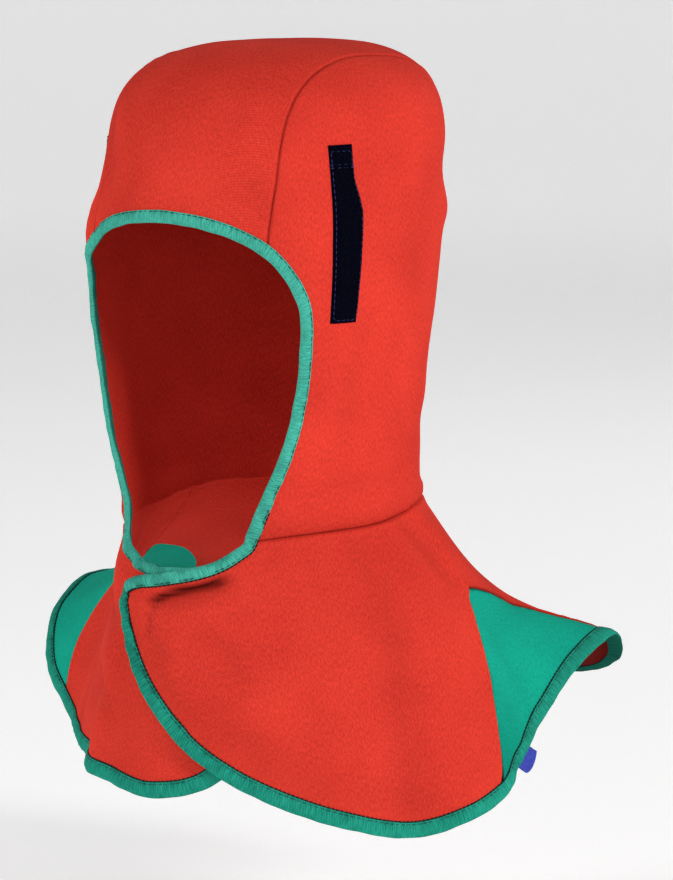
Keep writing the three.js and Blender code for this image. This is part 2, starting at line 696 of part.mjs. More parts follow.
function faceBindingStations() {
  const leftChin = chinStations(leftFrontGrid, steps.chin);
  const rightChin = chinStations(rightFrontGrid, rightChinSteps);
  const leftSide = sideStations(sideGrid);
  const rightSide = sideStations(mirrorGrid(sideGrid));
  const brow = bandGrid[bandGrid.length - 1].map((p, j) => station(p, bandGrid[bandGrid.length - 2][j])).reverse();
  return [
    nudge(leftChin[0], leftChin[1]), ...leftChin.slice(1), ...leftSide,
    ...brow,
    ...rightSide.reverse(), ...rightChin.slice(1).reverse(),
    nudge(rightChin[0], rightChin[1]),
  ];
}

function frontEdgeStations(grid) {
  const rows = grid.length - 1;
  const columns = grid[0].length - 1;
  const down = [station(grid[0][0], grid[1][1])];
  for (let i = 1; i < rows; i += 1) down.push(station(grid[i][0], grid[i][1]));
  const along = [station(grid[rows][0], grid[rows - 1][1])];
  for (let j = 1; j <= columns; j += 1) along.push(station(grid[rows][j], grid[rows - 1][j]));
  return [...down, ...along];
}
const hemStations = (grid) => grid[grid.length - 1].map((p, j) => station(p, grid[grid.length - 2][j]));

function hemBindingStations() {
  const leftRun = frontEdgeStations(leftFrontGrid);
  const rightRun = frontEdgeStations(rightFrontGrid).reverse();
  const last = rightRun.length - 1;
  return [
    nudge(leftRun[0], leftRun[1]), ...leftRun.slice(1),
    ...hemStations(leftGussetGrid).slice(1),
    ...hemStations(backGrid).slice(1),
    ...hemStations(rightGussetGrid).reverse().slice(1),
    ...rightRun.slice(1, -1),
    nudge(rightRun[last], rightRun[last - 1]),
  ].reverse();
}

// A strip of tape on the side of the head.
function headNormal(angle, depth) {
  const at = (a, d) => around(a, headRadius(a, d), d);
  const across = at(angle + 0.5, depth).sub(at(angle - 0.5, depth));
  const down = at(angle, depth + 0.5).sub(at(angle, depth - 0.5));
  return down.cross(across).normalize();
}

const tapeAngles = { left: 60, right: -66 };
const tapeTopDepth = 44;
function headTape(middle) {
  const rows = 8;
  const columns = 3;
  const places = spread(0, 1, rows).map((v) => {
    const depth = tapeTopDepth + tapeLength * v;
    const radius = headRadius(middle, depth);
    const swing = (tapeWidth / 2 / radius) / RADIANS;
    return spread(-1, 1, columns).map((u) => ({ angle: middle + u * swing, depth }));
  });
  const grid = places.map((row) => row.map(({ angle, depth }) => around(angle, headRadius(angle, depth), depth)));
  const base = clothThickness / 2 + 0.3 + 0.25;
  return sheet(grid, (i, j) => headNormal(places[i][j].angle, places[i][j].depth), base + tapeThickness, base);
}

// A piece of the closure between the two fronts, hidden when the fronts lie closed.
function closureTape() {
  const rows = 3;
  const columns = 5;
  const places = spread(0, 1, rows).map((v) =>
    spread(0, 1, columns).map((u) => ({ angle: 6 + u * 25, down: 0.16 + v * 0.24 + u * 0.02 })));
  const sunk = overlapStep / 2;
  const at = ({ angle, down }) => capePoint(angle, down, sunk);
  const lean = ({ angle, down }) => {
    const across = at({ angle: angle + 0.5, down }).sub(at({ angle: angle - 0.5, down }));
    const along = at({ angle, down: down + 0.01 }).sub(at({ angle, down: down - 0.01 }));
    return along.cross(across).normalize();
  };
  return sheet(pointsOf(places, at), (i, j) => lean(places[i][j]), 1.0, -1.0);
}

// A short tab of blue tape behind the hem of the left gusset.
function hemTab() {
  const hem = hemStations(leftGussetGrid);
  const from = hem[2];
  const to = hem[3];
  const along = to.edge.clone().sub(from.edge).normalize();
  const down = from.edge.clone().sub(from.inner).normalize();
  const inward = from.edgeNormal.clone().multiplyScalar(-3.4);
  const start = from.edge.clone().lerp(to.edge, 0.7).add(inward);
  const grid = spread(tabTop, tabFoot, 4).map((v) =>
    spread(-tabWidth / 2, tabWidth / 2, 2).map((u) => start.clone().addScaledVector(along, u).addScaledVector(down, v)));
  return sheet(grid, () => from.edgeNormal, 0.8, -0.8);
}

const colours = { red: '#d43d33', green: '#2cba9e', binding: '#309d8b', navy: '#0b0d18', blue: '#3f4f9c' };

function piece(name, geometry, colour) {
  const material = new THREE.MeshStandardMaterial({ color: colour, roughness: 0.9, metalness: 0 });
  const mesh = new THREE.Mesh(geometry, material);
  mesh.name = name;
  return mesh;
}

const hood = new THREE.Group();
Object.entries(panels).forEach(([name, panel]) => {
  const grid = pullIn(panel);
  const lean = (i, j) => normalOf(panel.grid[i][j]);
  const geometry = sheet(grid, lean, clothThickness / 2, -clothThickness / 2);
  hood.add(piece(name, geometry, name.startsWith('shoulder') ? colours.green : colours.red));
});
hood.add(piece('face_binding', binding(faceBindingStations()), colours.binding));
hood.add(piece('hem_binding', binding(hemBindingStations()), colours.binding));
hood.add(piece('helmet_tape_left', headTape(tapeAngles.left), colours.navy));
hood.add(piece('helmet_tape_right', headTape(tapeAngles.right), colours.navy));
hood.add(piece('closure_tape', closureTape(), colours.navy));
hood.add(piece('hem_tab', hemTab(), colours.blue));

export default hood;
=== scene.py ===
# A welder's hood of flame-resistant cotton, hanging as it does on a head: an orange-red crown band and
# side panels, a shoulder cape with a wrap-over front, green shoulder gussets and green bound edges.
# Metres in Blender, and millimetres in the cutting tables below. +Z up, the face looks along -Y.
import math

import bpy
import numpy as np
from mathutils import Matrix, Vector
from mathutils.bvhtree import BVHTree


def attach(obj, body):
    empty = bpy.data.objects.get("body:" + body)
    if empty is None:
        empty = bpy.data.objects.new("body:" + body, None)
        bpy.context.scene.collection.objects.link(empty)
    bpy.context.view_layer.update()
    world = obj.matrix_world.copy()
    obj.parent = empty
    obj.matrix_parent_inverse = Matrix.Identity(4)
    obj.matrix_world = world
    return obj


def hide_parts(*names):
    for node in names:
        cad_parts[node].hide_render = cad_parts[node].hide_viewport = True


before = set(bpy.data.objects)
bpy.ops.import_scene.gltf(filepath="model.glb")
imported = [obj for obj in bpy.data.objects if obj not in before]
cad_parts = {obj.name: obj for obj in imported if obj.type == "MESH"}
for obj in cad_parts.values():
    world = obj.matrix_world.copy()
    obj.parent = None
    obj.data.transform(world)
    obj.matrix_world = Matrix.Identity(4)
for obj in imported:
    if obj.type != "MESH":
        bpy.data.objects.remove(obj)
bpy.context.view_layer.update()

# Cloth and sewing, in millimetres
CLOTH = 1.4
FACE_BINDING = 4.4
HEM_BINDING = 6.0
OVERLAP_STEP = 4.6
SEAM_ALLOWANCE = 12
FINE = 5

# Head of the hood
LENGTH = 370.0
HALF_WIDTH = 78.0
FRONT_REACH = 94.0
BACK_REACH = 96.0
CROWN_RISE = 60.0
CROWN_SQUARE = 3.2
CROWN_BACK = 20.0
BAND_HALF = 49.0
NECK = 218.0
OPENING_TOP = 78.0
OPENING_HALF = 59.0
CHIN = 242.0
CAPE_REACH = 182.0
APEX = (108.0, 0.4)

# depth, half width, reach to the front, reach to the back, squareness of the front
HEAD = np.array([
    [0.00, 0.93, 0.74, 1.02, 2.2],
    [0.06, 0.95, 0.78, 1.00, 2.2],
    [0.12, 0.97, 0.84, 0.955, 2.1],
    [0.17, 0.97, 0.89, 0.92, 2.1],
    [0.23, 0.98, 0.95, 0.89, 2.15],
    [0.33, 0.97, 0.98, 0.81, 2.2],
    [0.43, 0.92, 0.96, 0.75, 2.1],
    [0.54, 0.87, 0.94, 0.75, 1.85],
    [0.61, 0.85, 0.95, 0.81, 1.75],
    [0.68, 0.87, 0.98, 0.80, 1.75],
])
# angle, drop
NECK_LINE = np.array([
    [0, 1.00], [12, 0.93], [20, 0.76], [28, 0.45], [38, 0.37], [60, 0.32], [85, 0.29], [105, 0.20], [125, 0.10],
    [180, 0.00],
])
# drop, half width
OPENING = np.array([
    [0.00, 0.00], [0.012, 0.34], [0.05, 0.66], [0.11, 0.87], [0.22, 1.01], [0.33, 1.02], [0.51, 0.95],
    [0.66, 0.845], [0.79, 0.715], [0.918, 0.600],
])
# angle, reach and depth half way down, reach and depth at the hem
CAPE = np.array([
    [-180, 0.60, 0.730, 1.04, 0.886],
    [-160, 0.60, 0.725, 1.03, 0.870],
    [-145, 0.62, 0.708, 1.03, 0.828],
    [-128, 0.64, 0.700, 1.05, 0.782],
    [-117, 0.65, 0.702, 1.09, 0.776],
    [-112, 0.635, 0.707, 1.07, 0.795],
    [-108, 0.615, 0.715, 1.03, 0.823],
    [-105, 0.60, 0.722, 0.98, 0.850],
    [-101, 0.57, 0.732, 0.89, 0.886],
    [-98, 0.55, 0.742, 0.79, 0.915],
    [-92, 0.52, 0.750, 0.68, 0.932],
    [-75, 0.46, 0.762, 0.55, 0.936],
    [-50, 0.425, 0.768, 0.48, 0.930],
    [-25, 0.48, 0.775, 0.54, 0.926],
    [0, 0.54, 0.792, 0.58, 0.940],
    [25, 0.54, 0.788, 0.57, 0.960],
    [50, 0.53, 0.782, 0.58, 0.980],
    [75, 0.53, 0.770, 0.603, 0.994],
    [98, 0.555, 0.748, 0.677, 0.958],
    [108, 0.56, 0.731, 0.677, 0.928],
    [120, 0.575, 0.718, 0.726, 0.877],
    [130, 0.595, 0.714, 0.822, 0.824],
    [140.4, 0.61, 0.721, 0.968, 0.797],
    [149, 0.605, 0.733, 1.055, 0.845],
    [160, 0.60, 0.735, 1.06, 0.880],
    [180, 0.60, 0.730, 1.04, 0.886],
])
# angle, share of the way down
LEFT_EDGE = [
    [-15, 0.00], [-14.5, 0.12], [-9.5, 0.38], [2, 0.61], [18, 0.81], [43, 0.935], [70, 0.985], [98, 1.00],
]
RIGHT_EDGE = [
    [41, 0.02], [40, 0.20], [38, 0.45], [32, 0.68], [20, 0.87], [5, 0.97], [-14, 1.00], [-98, 1.00],
]

# Soft forms of the worn cloth. Each row is a crease or swell along a line on the head, by angle and depth,
# or on the cape, by angle and share of the way down: two ends, half width, and push outwards.
HEAD_CREASES = [
    # angle, depth to angle, depth, half width, push
    (140, 84, 178, 88, 9, 0.9),
    (40, 214, 74, 214, 5.5, 1.6),
    (74, 214, 112, 206, 6, 1.3),
    (52, 203, 96, 204, 6, -1.3),
    (60, 190, 104, 186, 8, 0.9),
    (118, 176, 150, 190, 10, -1.4),
    (96, 150, 132, 176, 9, 0.9),
    (56, 140, 49, 200, 7, 0.9),
    (68, 128, 62, 190, 8, -0.9),
    (84, 60, 100, 100, 14, -0.8),
    (18, 66, 30, 62, 7, -0.9),
    (28, 56, 34, 74, 5, -0.9),
    (-14, 36, -4, 72, 16, 0.7),
    (-44, 34, -30, 62, 9, -1.6),
    (-36, 28, -20, 38, 7, 0.8),
    (-50, 40, -55, 60, 16, -1.8),
    (-44, 80, -40, 96, 9, 3.4),
    (-30, 200, -27, 228, 11, -3.2),
    (-84, 226, -46, 233, 17, -4.2),
    (-60, 150, -54, 205, 7, 0.8),
    (-72, 130, -66, 190, 8, -0.8),
    (-60, 206, -110, 210, 8, -1.1),
    (-118, 176, -150, 192, 10, -1.2),
    (150, 120, 170, 160, 14, -0.9),
    (-150, 130, -176, 150, 12, 0.8),
    (178, 96, 176, 108, 12, -1.0),
]
CAPE_CREASES = [
    (-4, 0.22, 24, 0.19, 7, 1.6),
    (-0.3, 0.11, -2, 0.28, 1.8, -1.7),
    (-12, 0.30, -9, 0.50, 5, 1.2),
    (-2, 0.30, 8, 0.58, 8, -1.9),
    (14, 0.27, 24, 0.36, 6, -1.3),
    (10, 0.46, 34, 0.62, 10, 1.5),
    (24, 0.42, 32, 0.52, 7, -1.2),
    (18, 0.60, 44, 0.84, 12, -1.8),
    (34, 0.20, 46, 0.60, 15, 1.9),
    (36, 0.03, 33, 0.16, 4.5, -0.9),
    (46, 0.03, 50, 0.20, 5, -0.8),
    (60, 0.03, 64, 0.20, 6, 0.6),
    (66, 0.05, 74, 0.45, 10, -1.0),
    (98, 0.04, 103, 0.30, 6, -1.9),
    (86, 0.10, 92, 0.60, 9, 1.4),
    (72, 0.45, 74, 0.98, 13, -1.4),
    (86, 0.60, 90, 0.98, 9, 1.2),
    (50, 0.86, 78, 0.90, 8, -0.9),
    (-30, 0.10, -46, 0.30, 9, 1.2),
    (-26, 0.36, -66, 0.40, 8, -2.6),
    (-28, 0.52, -60, 0.58, 8, 1.4),
    (-22, 0.70, -58, 0.66, 7, -1.8),
    (-30, 0.84, -70, 0.84, 9, 1.3),
    (-78, 0.20, -84, 0.90, 8, -1.3),
    (-66, 0.10, -70, 0.36, 7, 0.9),
    (-48, 0.02, -46, 0.16, 5, -0.9),
    (-94, 0.02, -96, 0.30, 6, -1.0),
    (124, 0.08, 132, 0.60, 10, -1.6),
    (140, 0.10, 142, 0.90, 10, 1.4),
    (156, 0.06, 154, 0.95, 12, -2.0),
    (172, 0.10, 170, 0.95, 12, 1.8),
    (-172, 0.05, -170, 0.90, 12, -1.8),
    (-156, 0.10, -154, 0.95, 12, 1.8),
    (-140, 0.05, -142, 0.85, 10, -1.5),
    (-122, 0.12, -126, 0.80, 9, 1.2),
    (112, 0.55, 118, 0.95, 8, -1.3),
    (104, 0.70, 110, 0.98, 6, 0.9),
    (-106, 0.45, -112, 0.95, 8, -0.9),
]
# A fold under the chin, where the cloth of the left front drops away below a line: angle, share of the
# way down, and drop.
CHIN_TUCK = np.array([
    (-4, 0.140, 0), (-0.2, 0.116, 3.2), (3, 0.092, 4.6), (7.5, 0.072, 5.2), (12.5, 0.062, 5.0),
    (18, 0.068, 3.2), (24, 0.080, 0),
])


def read(table, column, x):
    """A named column of a table at x, by a smooth cubic."""
    key, val = table[:, 0], table[:, column]
    x = np.clip(np.asarray(x, float), key[0], key[-1])
    i = np.clip(np.searchsorted(key, x, side="left") - 1, 0, len(key) - 2)
    order = np.arange(len(key))
    before = np.maximum(order - 1, 0)
    after = np.minimum(order + 1, len(key) - 1)
    slope = (val[after] - val[before]) / (key[after] - key[before])
    width = key[i + 1] - key[i]
    t = (x - key[i]) / width
    ends = (1 + 2 * t) * (1 - t) ** 2 * val[i] + t * t * (3 - 2 * t) * val[i + 1]
    return ends + t * (1 - t) ** 2 * width * slope[i] + t * t * (t - 1) * width * slope[i + 1]


def wrap(angle):
    """The same angle, from -180 to 180 degrees."""
    return (np.asarray(angle, float) + 540) % 360 - 180


def smoothstep(start, stop, x):
    t = np.clip((x - start) / (stop - start), 0, 1)
    return t * t * (3 - 2 * t)


def bump(x, middle, width):
    """A smooth hill, 1 high at its middle."""
    return np.exp(-(((x - middle) / width) ** 2))


def unit(vectors):
    return vectors / (np.linalg.norm(vectors, axis=-1, keepdims=True) + 1e-12)


def so_far(points, axis=0):
    """Length from the start of a line, or of each line of a grid, to each of its points."""
    first = np.take(points, [0], axis)
    return np.cumsum(np.linalg.norm(np.diff(points, axis=axis, prepend=first), axis=-1), axis=axis)


def last_where(test, shape, low, high):
    """The last value between two ends at which a test still holds, by halving."""
    low, high = np.full(shape, float(low)), np.full(shape, float(high))
    for _ in range(42):
        middle = (low + high) / 2
        holds = test(middle)
        low, high = np.where(holds, middle, low), np.where(holds, high, middle)
    return low


def nape_roll(angle, depth):
    """How far the cloth rolls out over the nape, low down at the back."""
    share = depth / LENGTH
    roll = 3.0 * bump(share, 0.215, 0.03) - 1.5 * bump(share, 0.160, 0.03)
    return roll * bump(np.abs(wrap(angle)), 150, 26)


def head_section(depth):
    share = depth / LENGTH
    rise = 1 - np.clip(depth / CROWN_RISE, 0, 1)
    dome = (1 - rise**CROWN_SQUARE) ** (1 / CROWN_SQUARE)
    return (
        dome,
        HALF_WIDTH * read(HEAD, 1, share),
        FRONT_REACH * read(HEAD, 2, share),
        BACK_REACH * read(HEAD, 3, share),
        read(HEAD, 4, share),
    )


def inside(x, y, depth, section=None):
    """Whether a place lies inside the head of the hood."""
    deep = np.maximum(depth, 1e-6)
    dome, width, front, back, square = section or head_section(deep)
    forward = CROWN_BACK * (1 - dome) - y
    ahead = forward > 0
    square = np.where(ahead, square, 2.25)
    reach = dome * np.where(ahead, front, back)
    fold = 1 + nape_roll(np.degrees(np.arctan2(x, -y)), depth) / reach
    side = (np.abs(x) / (dome * width * fold)) ** square
    return (depth > 0) & (side + (np.abs(forward) / (reach * fold)) ** square < 1)


def head_radius(angle, depth):
    angle, depth = np.broadcast_arrays(np.asarray(angle, float), np.asarray(depth, float))
    turn = np.radians(angle)
    section = head_section(np.maximum(depth, 1e-6))
    return last_where(
        lambda out: inside(out * np.sin(turn), -out * np.cos(turn), depth, section),
        angle.shape, 0, 2 * HALF_WIDTH,
    )


def around(angle, radius, depth):
    turn = np.radians(angle)
    return np.stack(
        np.broadcast_arrays(radius * np.sin(turn), -radius * np.cos(turn), CLOTH / 2 - depth), -1
    )


def on_head(angle, depth):
    return around(angle, head_radius(angle, depth), depth)


def angle_of(p):
    return np.degrees(np.arctan2(p[..., 0], -p[..., 1]))


def depth_of(p):
    return CLOTH / 2 - p[..., 2]


def head_surface(start, direction):
    """Where rays from inside the head leave it."""
    def within(out):
        p = start + direction * out[..., None]
        return inside(p[..., 0], p[..., 1], depth_of(p))

    return start + direction * last_where(within, direction.shape[:-1], 0, 2 * LENGTH)[..., None]


def neck_depth(angle):
    return NECK + (CHIN - NECK) * read(NECK_LINE, 1, np.abs(wrap(angle)))


def cape_point(angle, down, sunk=0.0):
    turned = wrap(angle)
    top = neck_depth(turned)
    neck = head_radius(turned, top)
    middle, hem = 4 * down * (1 - down), down * (2 * down - 1)
    start = (1 - down) * (1 - 2 * down)
    radius = start * neck + CAPE_REACH * (middle * read(CAPE, 1, turned) + hem * read(CAPE, 3, turned))
    depth = start * top + LENGTH * (middle * read(CAPE, 2, turned) + hem * read(CAPE, 4, turned))
    return around(turned, radius - sunk, depth)


def spaced(points, count, values=None):
    """Evenly spaced points, or values that go with them, along a line."""
    values = points if values is None else values
    lengths = so_far(points)
    wanted = np.linspace(0, lengths[-1], count + 1)
    return np.stack([np.interp(wanted, lengths, values[:, k]) for k in range(values.shape[1])], 1)


def edge_curve(rows, count):
    """Evenly spaced places along a table's smooth curve."""
    p = np.array(rows, float) * [1, 60]
    p = np.concatenate([p[:1], p, p[-1:]])
    t = np.linspace(0, 1, 40, endpoint=False)[:, None]
    runs = []
    for a, b, c, d in zip(p, p[1:], p[2:], p[3:]):
        v0, v1 = (c - a) / 2, (d - b) / 2
        runs.append((2 * b - 2 * c + v0 + v1) * t**3 + (-3 * b + 3 * c - 2 * v0 - v1) * t**2 + v0 * t + b)
    fine = np.concatenate(runs + [p[-1:]])
    return spaced(fine, count) / [1, 60]


def patch(top, bottom, left, right):
    u = np.linspace(0, 1, len(top))[None, :, None]
    v = np.linspace(0, 1, len(left))[:, None, None]
    straight = (1 - v) * top[None] + v * bottom[None] + (1 - u) * left[:, None] + u * right[:, None]
    corners = (1 - u) * (1 - v) * top[0] + u * (1 - v) * top[-1] + (1 - u) * v * bottom[0] + u * v * bottom[-1]
    return straight - corners


# Steps along the seams, and the angles from the front at which seams and edges start
FACE, SEAM_FRONT, SEAM_TOP, BROW = 11 * FINE, 4 * FINE, 14 * FINE, 12 * FINE
CHIN_STEPS, SHOULDER, NECK_BACK = 6 * FINE, 10 * FINE, 4 * FINE
CAPE_TOP, CAPE_LOW, GUSSET_HEM = 3 * FINE, 6 * FINE, 8 * FINE
SEAM = SEAM_FRONT + SEAM_TOP + FACE + SEAM_FRONT
FOOT, SHOULDER_ANGLE, GUSSET_FRONT, GUSSET_BACK, RIGHT_BACK = 28.0, 112.0, 98.0, 140.4, 128.0
CENTRE = np.array([0, 0, -0.3 * LENGTH])


def opening_half(depth):
    return OPENING_HALF * read(OPENING, 1, (depth - OPENING_TOP) / (CHIN - OPENING_TOP))


def crown_point(across, turn):
    across, turn = np.broadcast_arrays(across, turn)
    start = np.stack([across * BAND_HALF, 0 * across, 0 * across + CENTRE[2]], -1)
    turn = np.radians(turn)
    return head_surface(start, np.stack([0 * turn, -np.cos(turn), np.sin(turn)], -1))


def turn_where(across, low, high, before):
    return last_where(lambda turn: before(crown_point(across, turn)), across.shape, low, high)


def crown_band():
    across = np.linspace(-1, 1, BROW + 1)
    brow = turn_where(
        across, -60, 80,
        lambda p: (depth_of(p) >= OPENING_TOP) & (np.abs(p[..., 0]) <= opening_half(depth_of(p))),
    )
    nape = turn_where(across, 120, 250, lambda p: depth_of(p) <= neck_depth(angle_of(p)))
    turns = brow + (nape - brow) * np.linspace(0, 1, 241)[:, None]
    points = crown_point(across[None], turns)
    even = [spaced(points[:, j], SEAM, turns[:, j : j + 1])[:, 0] for j in range(len(across))]
    return crown_point(across[None], np.stack(even, 1))


def directions_of(points):
    seen = points - CENTRE
    lift = np.degrees(np.arctan2(seen[..., 2], np.hypot(seen[..., 0], seen[..., 1])))
    return np.stack([angle_of(seen), lift], -1)


def side_point(places):
    angle, lift = np.radians(places[..., 0]), np.radians(places[..., 1])
    level = np.cos(lift)
    return head_surface(
        CENTRE, np.stack([level * np.sin(angle), -level * np.cos(angle), np.sin(lift)], -1)
    )


def face_edge(seam_depth):
    depth = np.linspace(seam_depth, neck_depth(FOOT), 241)
    half = opening_half(depth)
    angle = last_where(lambda a: on_head(a, depth)[..., 0] < half, depth.shape, 0, 90)
    angle[-1] = FOOT
    return spaced(on_head(angle, depth), FACE)


def run(start, stop, count):
    t = np.linspace(0, 1, count + 1)[:, None]
    return np.array(start) + (np.array(stop) - np.array(start)) * t


def bowed_seam(hem_angle):
    seam = run(APEX, (hem_angle, 1.0), CAPE_LOW)
    t = np.linspace(0, 1, CAPE_LOW + 1)
    return seam + np.stack([40 * t * (1 - t), -0.2 * t * (1 - t)], 1)


BAND = crown_band()
LEFT_SEAM = BAND[:, -1]
NAPE_ANGLE = float(angle_of(LEFT_SEAM[-1]))
SHOULDER_SEAM = run((SHOULDER_ANGLE, 0), APEX, CAPE_TOP)
GUSSET_SEAM = run(APEX, (GUSSET_FRONT, 1), CAPE_LOW)


def neck_angles():
    to_shoulder = np.linspace(FOOT, SHOULDER_ANGLE, SHOULDER + 1)
    return np.concatenate([to_shoulder, np.linspace(SHOULDER_ANGLE, NAPE_ANGLE, NECK_BACK + 1)[1:]])


def side_panel():
    face = face_edge(float(depth_of(LEFT_SEAM[0])))
    face[0] = LEFT_SEAM[0]
    front = np.concatenate([LEFT_SEAM[SEAM_FRONT:0:-1], face])
    top = LEFT_SEAM[SEAM_FRONT : SEAM_FRONT + SEAM_TOP + 1]
    back = LEFT_SEAM[SEAM_FRONT + SEAM_TOP :]
    angles = neck_angles()
    bottom = on_head(angles, neck_depth(angles))
    return side_point(patch(*(directions_of(line) for line in (top, bottom, front, back))))


def front_places(edge, chin_steps):
    corner, start = edge[0]
    t = np.linspace(0, 1, chin_steps + 1)
    chin = np.stack([corner + (FOOT - corner) * t, start * (1 - t) ** 2], 1)
    top = np.concatenate([chin, run((FOOT, 0), (SHOULDER_ANGLE, 0), SHOULDER)[1:]])
    right = np.concatenate([SHOULDER_SEAM, GUSSET_SEAM[1:]])
    curve = edge_curve(edge, len(right) + len(top) - 2)
    return patch(top, curve[len(right) - 1 :], curve[: len(right)], right)


def gusset_places(back_seam):
    hem = run(GUSSET_SEAM[-1], back_seam[-1], GUSSET_HEM)
    return patch(np.repeat([APEX], len(hem), 0), hem, GUSSET_SEAM, back_seam)


def back_places():
    down = neck_angles()[SHOULDER:]
    nape = angle_of(BAND[-1])[::-1]
    nape = np.where(nape < 0, nape + 360, nape)
    top = np.concatenate([down, nape[1:-1], 360 - down[::-1]])
    top = np.stack([top, 0 * top], 1)
    left = np.concatenate([SHOULDER_SEAM, bowed_seam(GUSSET_BACK)[1:]])
    right = np.concatenate([SHOULDER_SEAM, bowed_seam(RIGHT_BACK)[1:]]) * [-1, 1] + [360, 0]
    return patch(top, run(left[-1], right[-1], len(top) - 1), left, right)


def left_cape(places):
    return cape_point(places[..., 0], places[..., 1])


def right_cape(places):
    return cape_point(-places[..., 0], places[..., 1])


def under_cape(places):
    angle = -places[..., 0]
    return cape_point(angle, places[..., 1], OVERLAP_STEP * smoothstep(1 - FOOT, -13.5, angle))


MIRROR = np.array([-1, 1, 1])
RIGHT_CHIN = CHIN_STEPS + 3 * FINE
# Each panel's grid runs from top to bottom and, seen from outside, from left to right.
GRIDS = {
    "crown_panel": BAND[::-1],
    "side_panel_left": side_panel(),
    "front_cape_left": left_cape(front_places(LEFT_EDGE, CHIN_STEPS)),
    "front_cape_right": under_cape(front_places([(-a, d) for a, d in RIGHT_EDGE], RIGHT_CHIN))[:, ::-1],
    "back_cape": left_cape(back_places()),
    "shoulder_gusset_left": left_cape(gusset_places(bowed_seam(GUSSET_BACK))),
    "shoulder_gusset_right": right_cape(gusset_places(bowed_seam(RIGHT_BACK)))[:, ::-1],
}
GRIDS["side_panel_right"] = (GRIDS["side_panel_left"] * MIRROR)[:, ::-1]


def round_corner(grid, reach):
    """Rounds the grid's first corner, which is the free corner of the left front."""
    from_left, from_top = so_far(grid, 1), so_far(grid)
    right, down = unit(grid[0, 3] - grid[0, 0]), unit(grid[3, 0] - grid[0, 0])
    x, y = reach - from_left, reach - from_top
    near = (x > 0) & (y > 0)
    moved = np.where(near, 1 - np.maximum(x, y) / (np.hypot(x, y) + 1e-9), 0)
    return grid + (moved * x)[..., None] * right + (moved * y)[..., None] * down


GRIDS["front_cape_left"] = round_corner(GRIDS["front_cape_left"], 18.0)
CORNER = GRIDS["front_cape_left"][0, 0].copy()
near_corner = bump(np.linalg.norm(GRIDS["front_cape_left"] - CORNER, axis=-1), 0, 24)
GRIDS["front_cape_left"] += near_corner[..., None] * np.array([-2.4, -1.8, -5.4])


def face_normals(grid):
    down = grid[1:, :-1] - grid[:-1, 1:]
    across = grid[1:, 1:] - grid[:-1, :-1]
    return np.cross(down, across)


def shared_normals(grids):
    """Normals that panels share where they meet."""
    points, sums = [], []
    for grid in grids.values():
        faces = np.pad(face_normals(grid), ((1, 1), (1, 1), (0, 0)))
        total = faces[:-1, :-1] + faces[1:, :-1] + faces[:-1, 1:] + faces[1:, 1:]
        points.append(grid.reshape(-1, 3))
        sums.append(total.reshape(-1, 3))
    points, sums = np.concatenate(points), np.concatenate(sums)
    keys = np.round(points * 20 + 0.013).astype(np.int64)
    _, where = np.unique(keys, axis=0, return_inverse=True)
    where = where.reshape(-1)
    merged = np.zeros((where.max() + 1, 3))
    np.add.at(merged, where, sums)
    merged = unit(merged)
    shared = np.split(merged[where], np.cumsum([grid.size // 3 for grid in grids.values()])[:-1])
    return {name: some.reshape(grid.shape) for (name, grid), some in zip(grids.items(), shared)}


def distance_to(points, a, b):
    """Distance to a stretch of line, and how far along it."""
    line = b - a
    t = np.clip(((points - a) @ line) / (line @ line), 0, 1)
    return np.linalg.norm(points - a - t[..., None] * line, axis=-1), t


def crease_lines():
    for a0, d0, a1, d1, width, push in HEAD_CREASES:
        ends = on_head(np.array([a0, a1]), np.array([d0, d1]))
        yield *ends, width, push
    for a0, v0, a1, v1, width, push in CAPE_CREASES:
        ends = cape_point(np.array([a0, a1]), np.array([v0, v1]))
        yield *ends, width, push


LINES = list(crease_lines())


def tucks(points):
    """How far the cloth lies back below the fold under the chin, and the shade painted under that fold and
    along the upright crease below the chin.
    """
    angle, down, drop = (np.interp(np.linspace(0, 6, 121), np.arange(7), column) for column in CHIN_TUCK.T)
    line = cape_point(angle, down)
    flat = points.reshape(-1, 3)
    gap = np.linalg.norm(flat[:, None] - line[None], axis=-1)
    at = gap.argmin(1)
    under = unit(np.cross(np.gradient(line, axis=0), line * [1, 1, 0]))
    under *= -np.sign(under[:, 2:])
    below = ((flat - line[at]) * under[at]).sum(1)
    ends = np.exp(-((gap.min(1) ** 2 - below**2).clip(0) / 36))
    back = drop[at] * ends * smoothstep(-1.4, 2.6, below)
    # Painted shade under the fold, as deep as the drop.
    dark = (drop[at] / 2.8).clip(0, 1) * ends * smoothstep(-1.6, 0.9, below) * bump(below, 0, 4.4)
    # Painted shade along the upright crease below the chin.
    a, b = cape_point(np.array([-0.3, -2]), np.array([0.11, 0.27]))
    upright, t = distance_to(flat, a, b)
    dark = np.maximum(dark, (0.75 - 0.5 * t) * bump(upright, 0, 1.0))
    back *= bump(below.clip(0), 0, 11)
    return back.reshape(points.shape[:-1]), dark.reshape(points.shape[:-1])


def soft_form(points):
    """How far the worn cloth stands out from its cut surface."""
    out = np.zeros(points.shape[:-1])
    for a, b, width, push in LINES:
        gap, t = distance_to(points, a, b)
        out += push * bump(gap, 0, width) * (0.75 + 0.25 * np.sin(math.pi * t))
    out -= tucks(points)[0]
    x, y, z = points[..., 0], points[..., 1], points[..., 2]
    out += 0.16 * np.sin(x / 9.1 + 1.7 * np.sin(z / 31)) * np.sin(z / 13.7 + y / 17)
    out += 0.10 * np.sin(y / 5.3 + z / 11 + 2) * np.sin(x / 6.1 - z / 9)
    return out


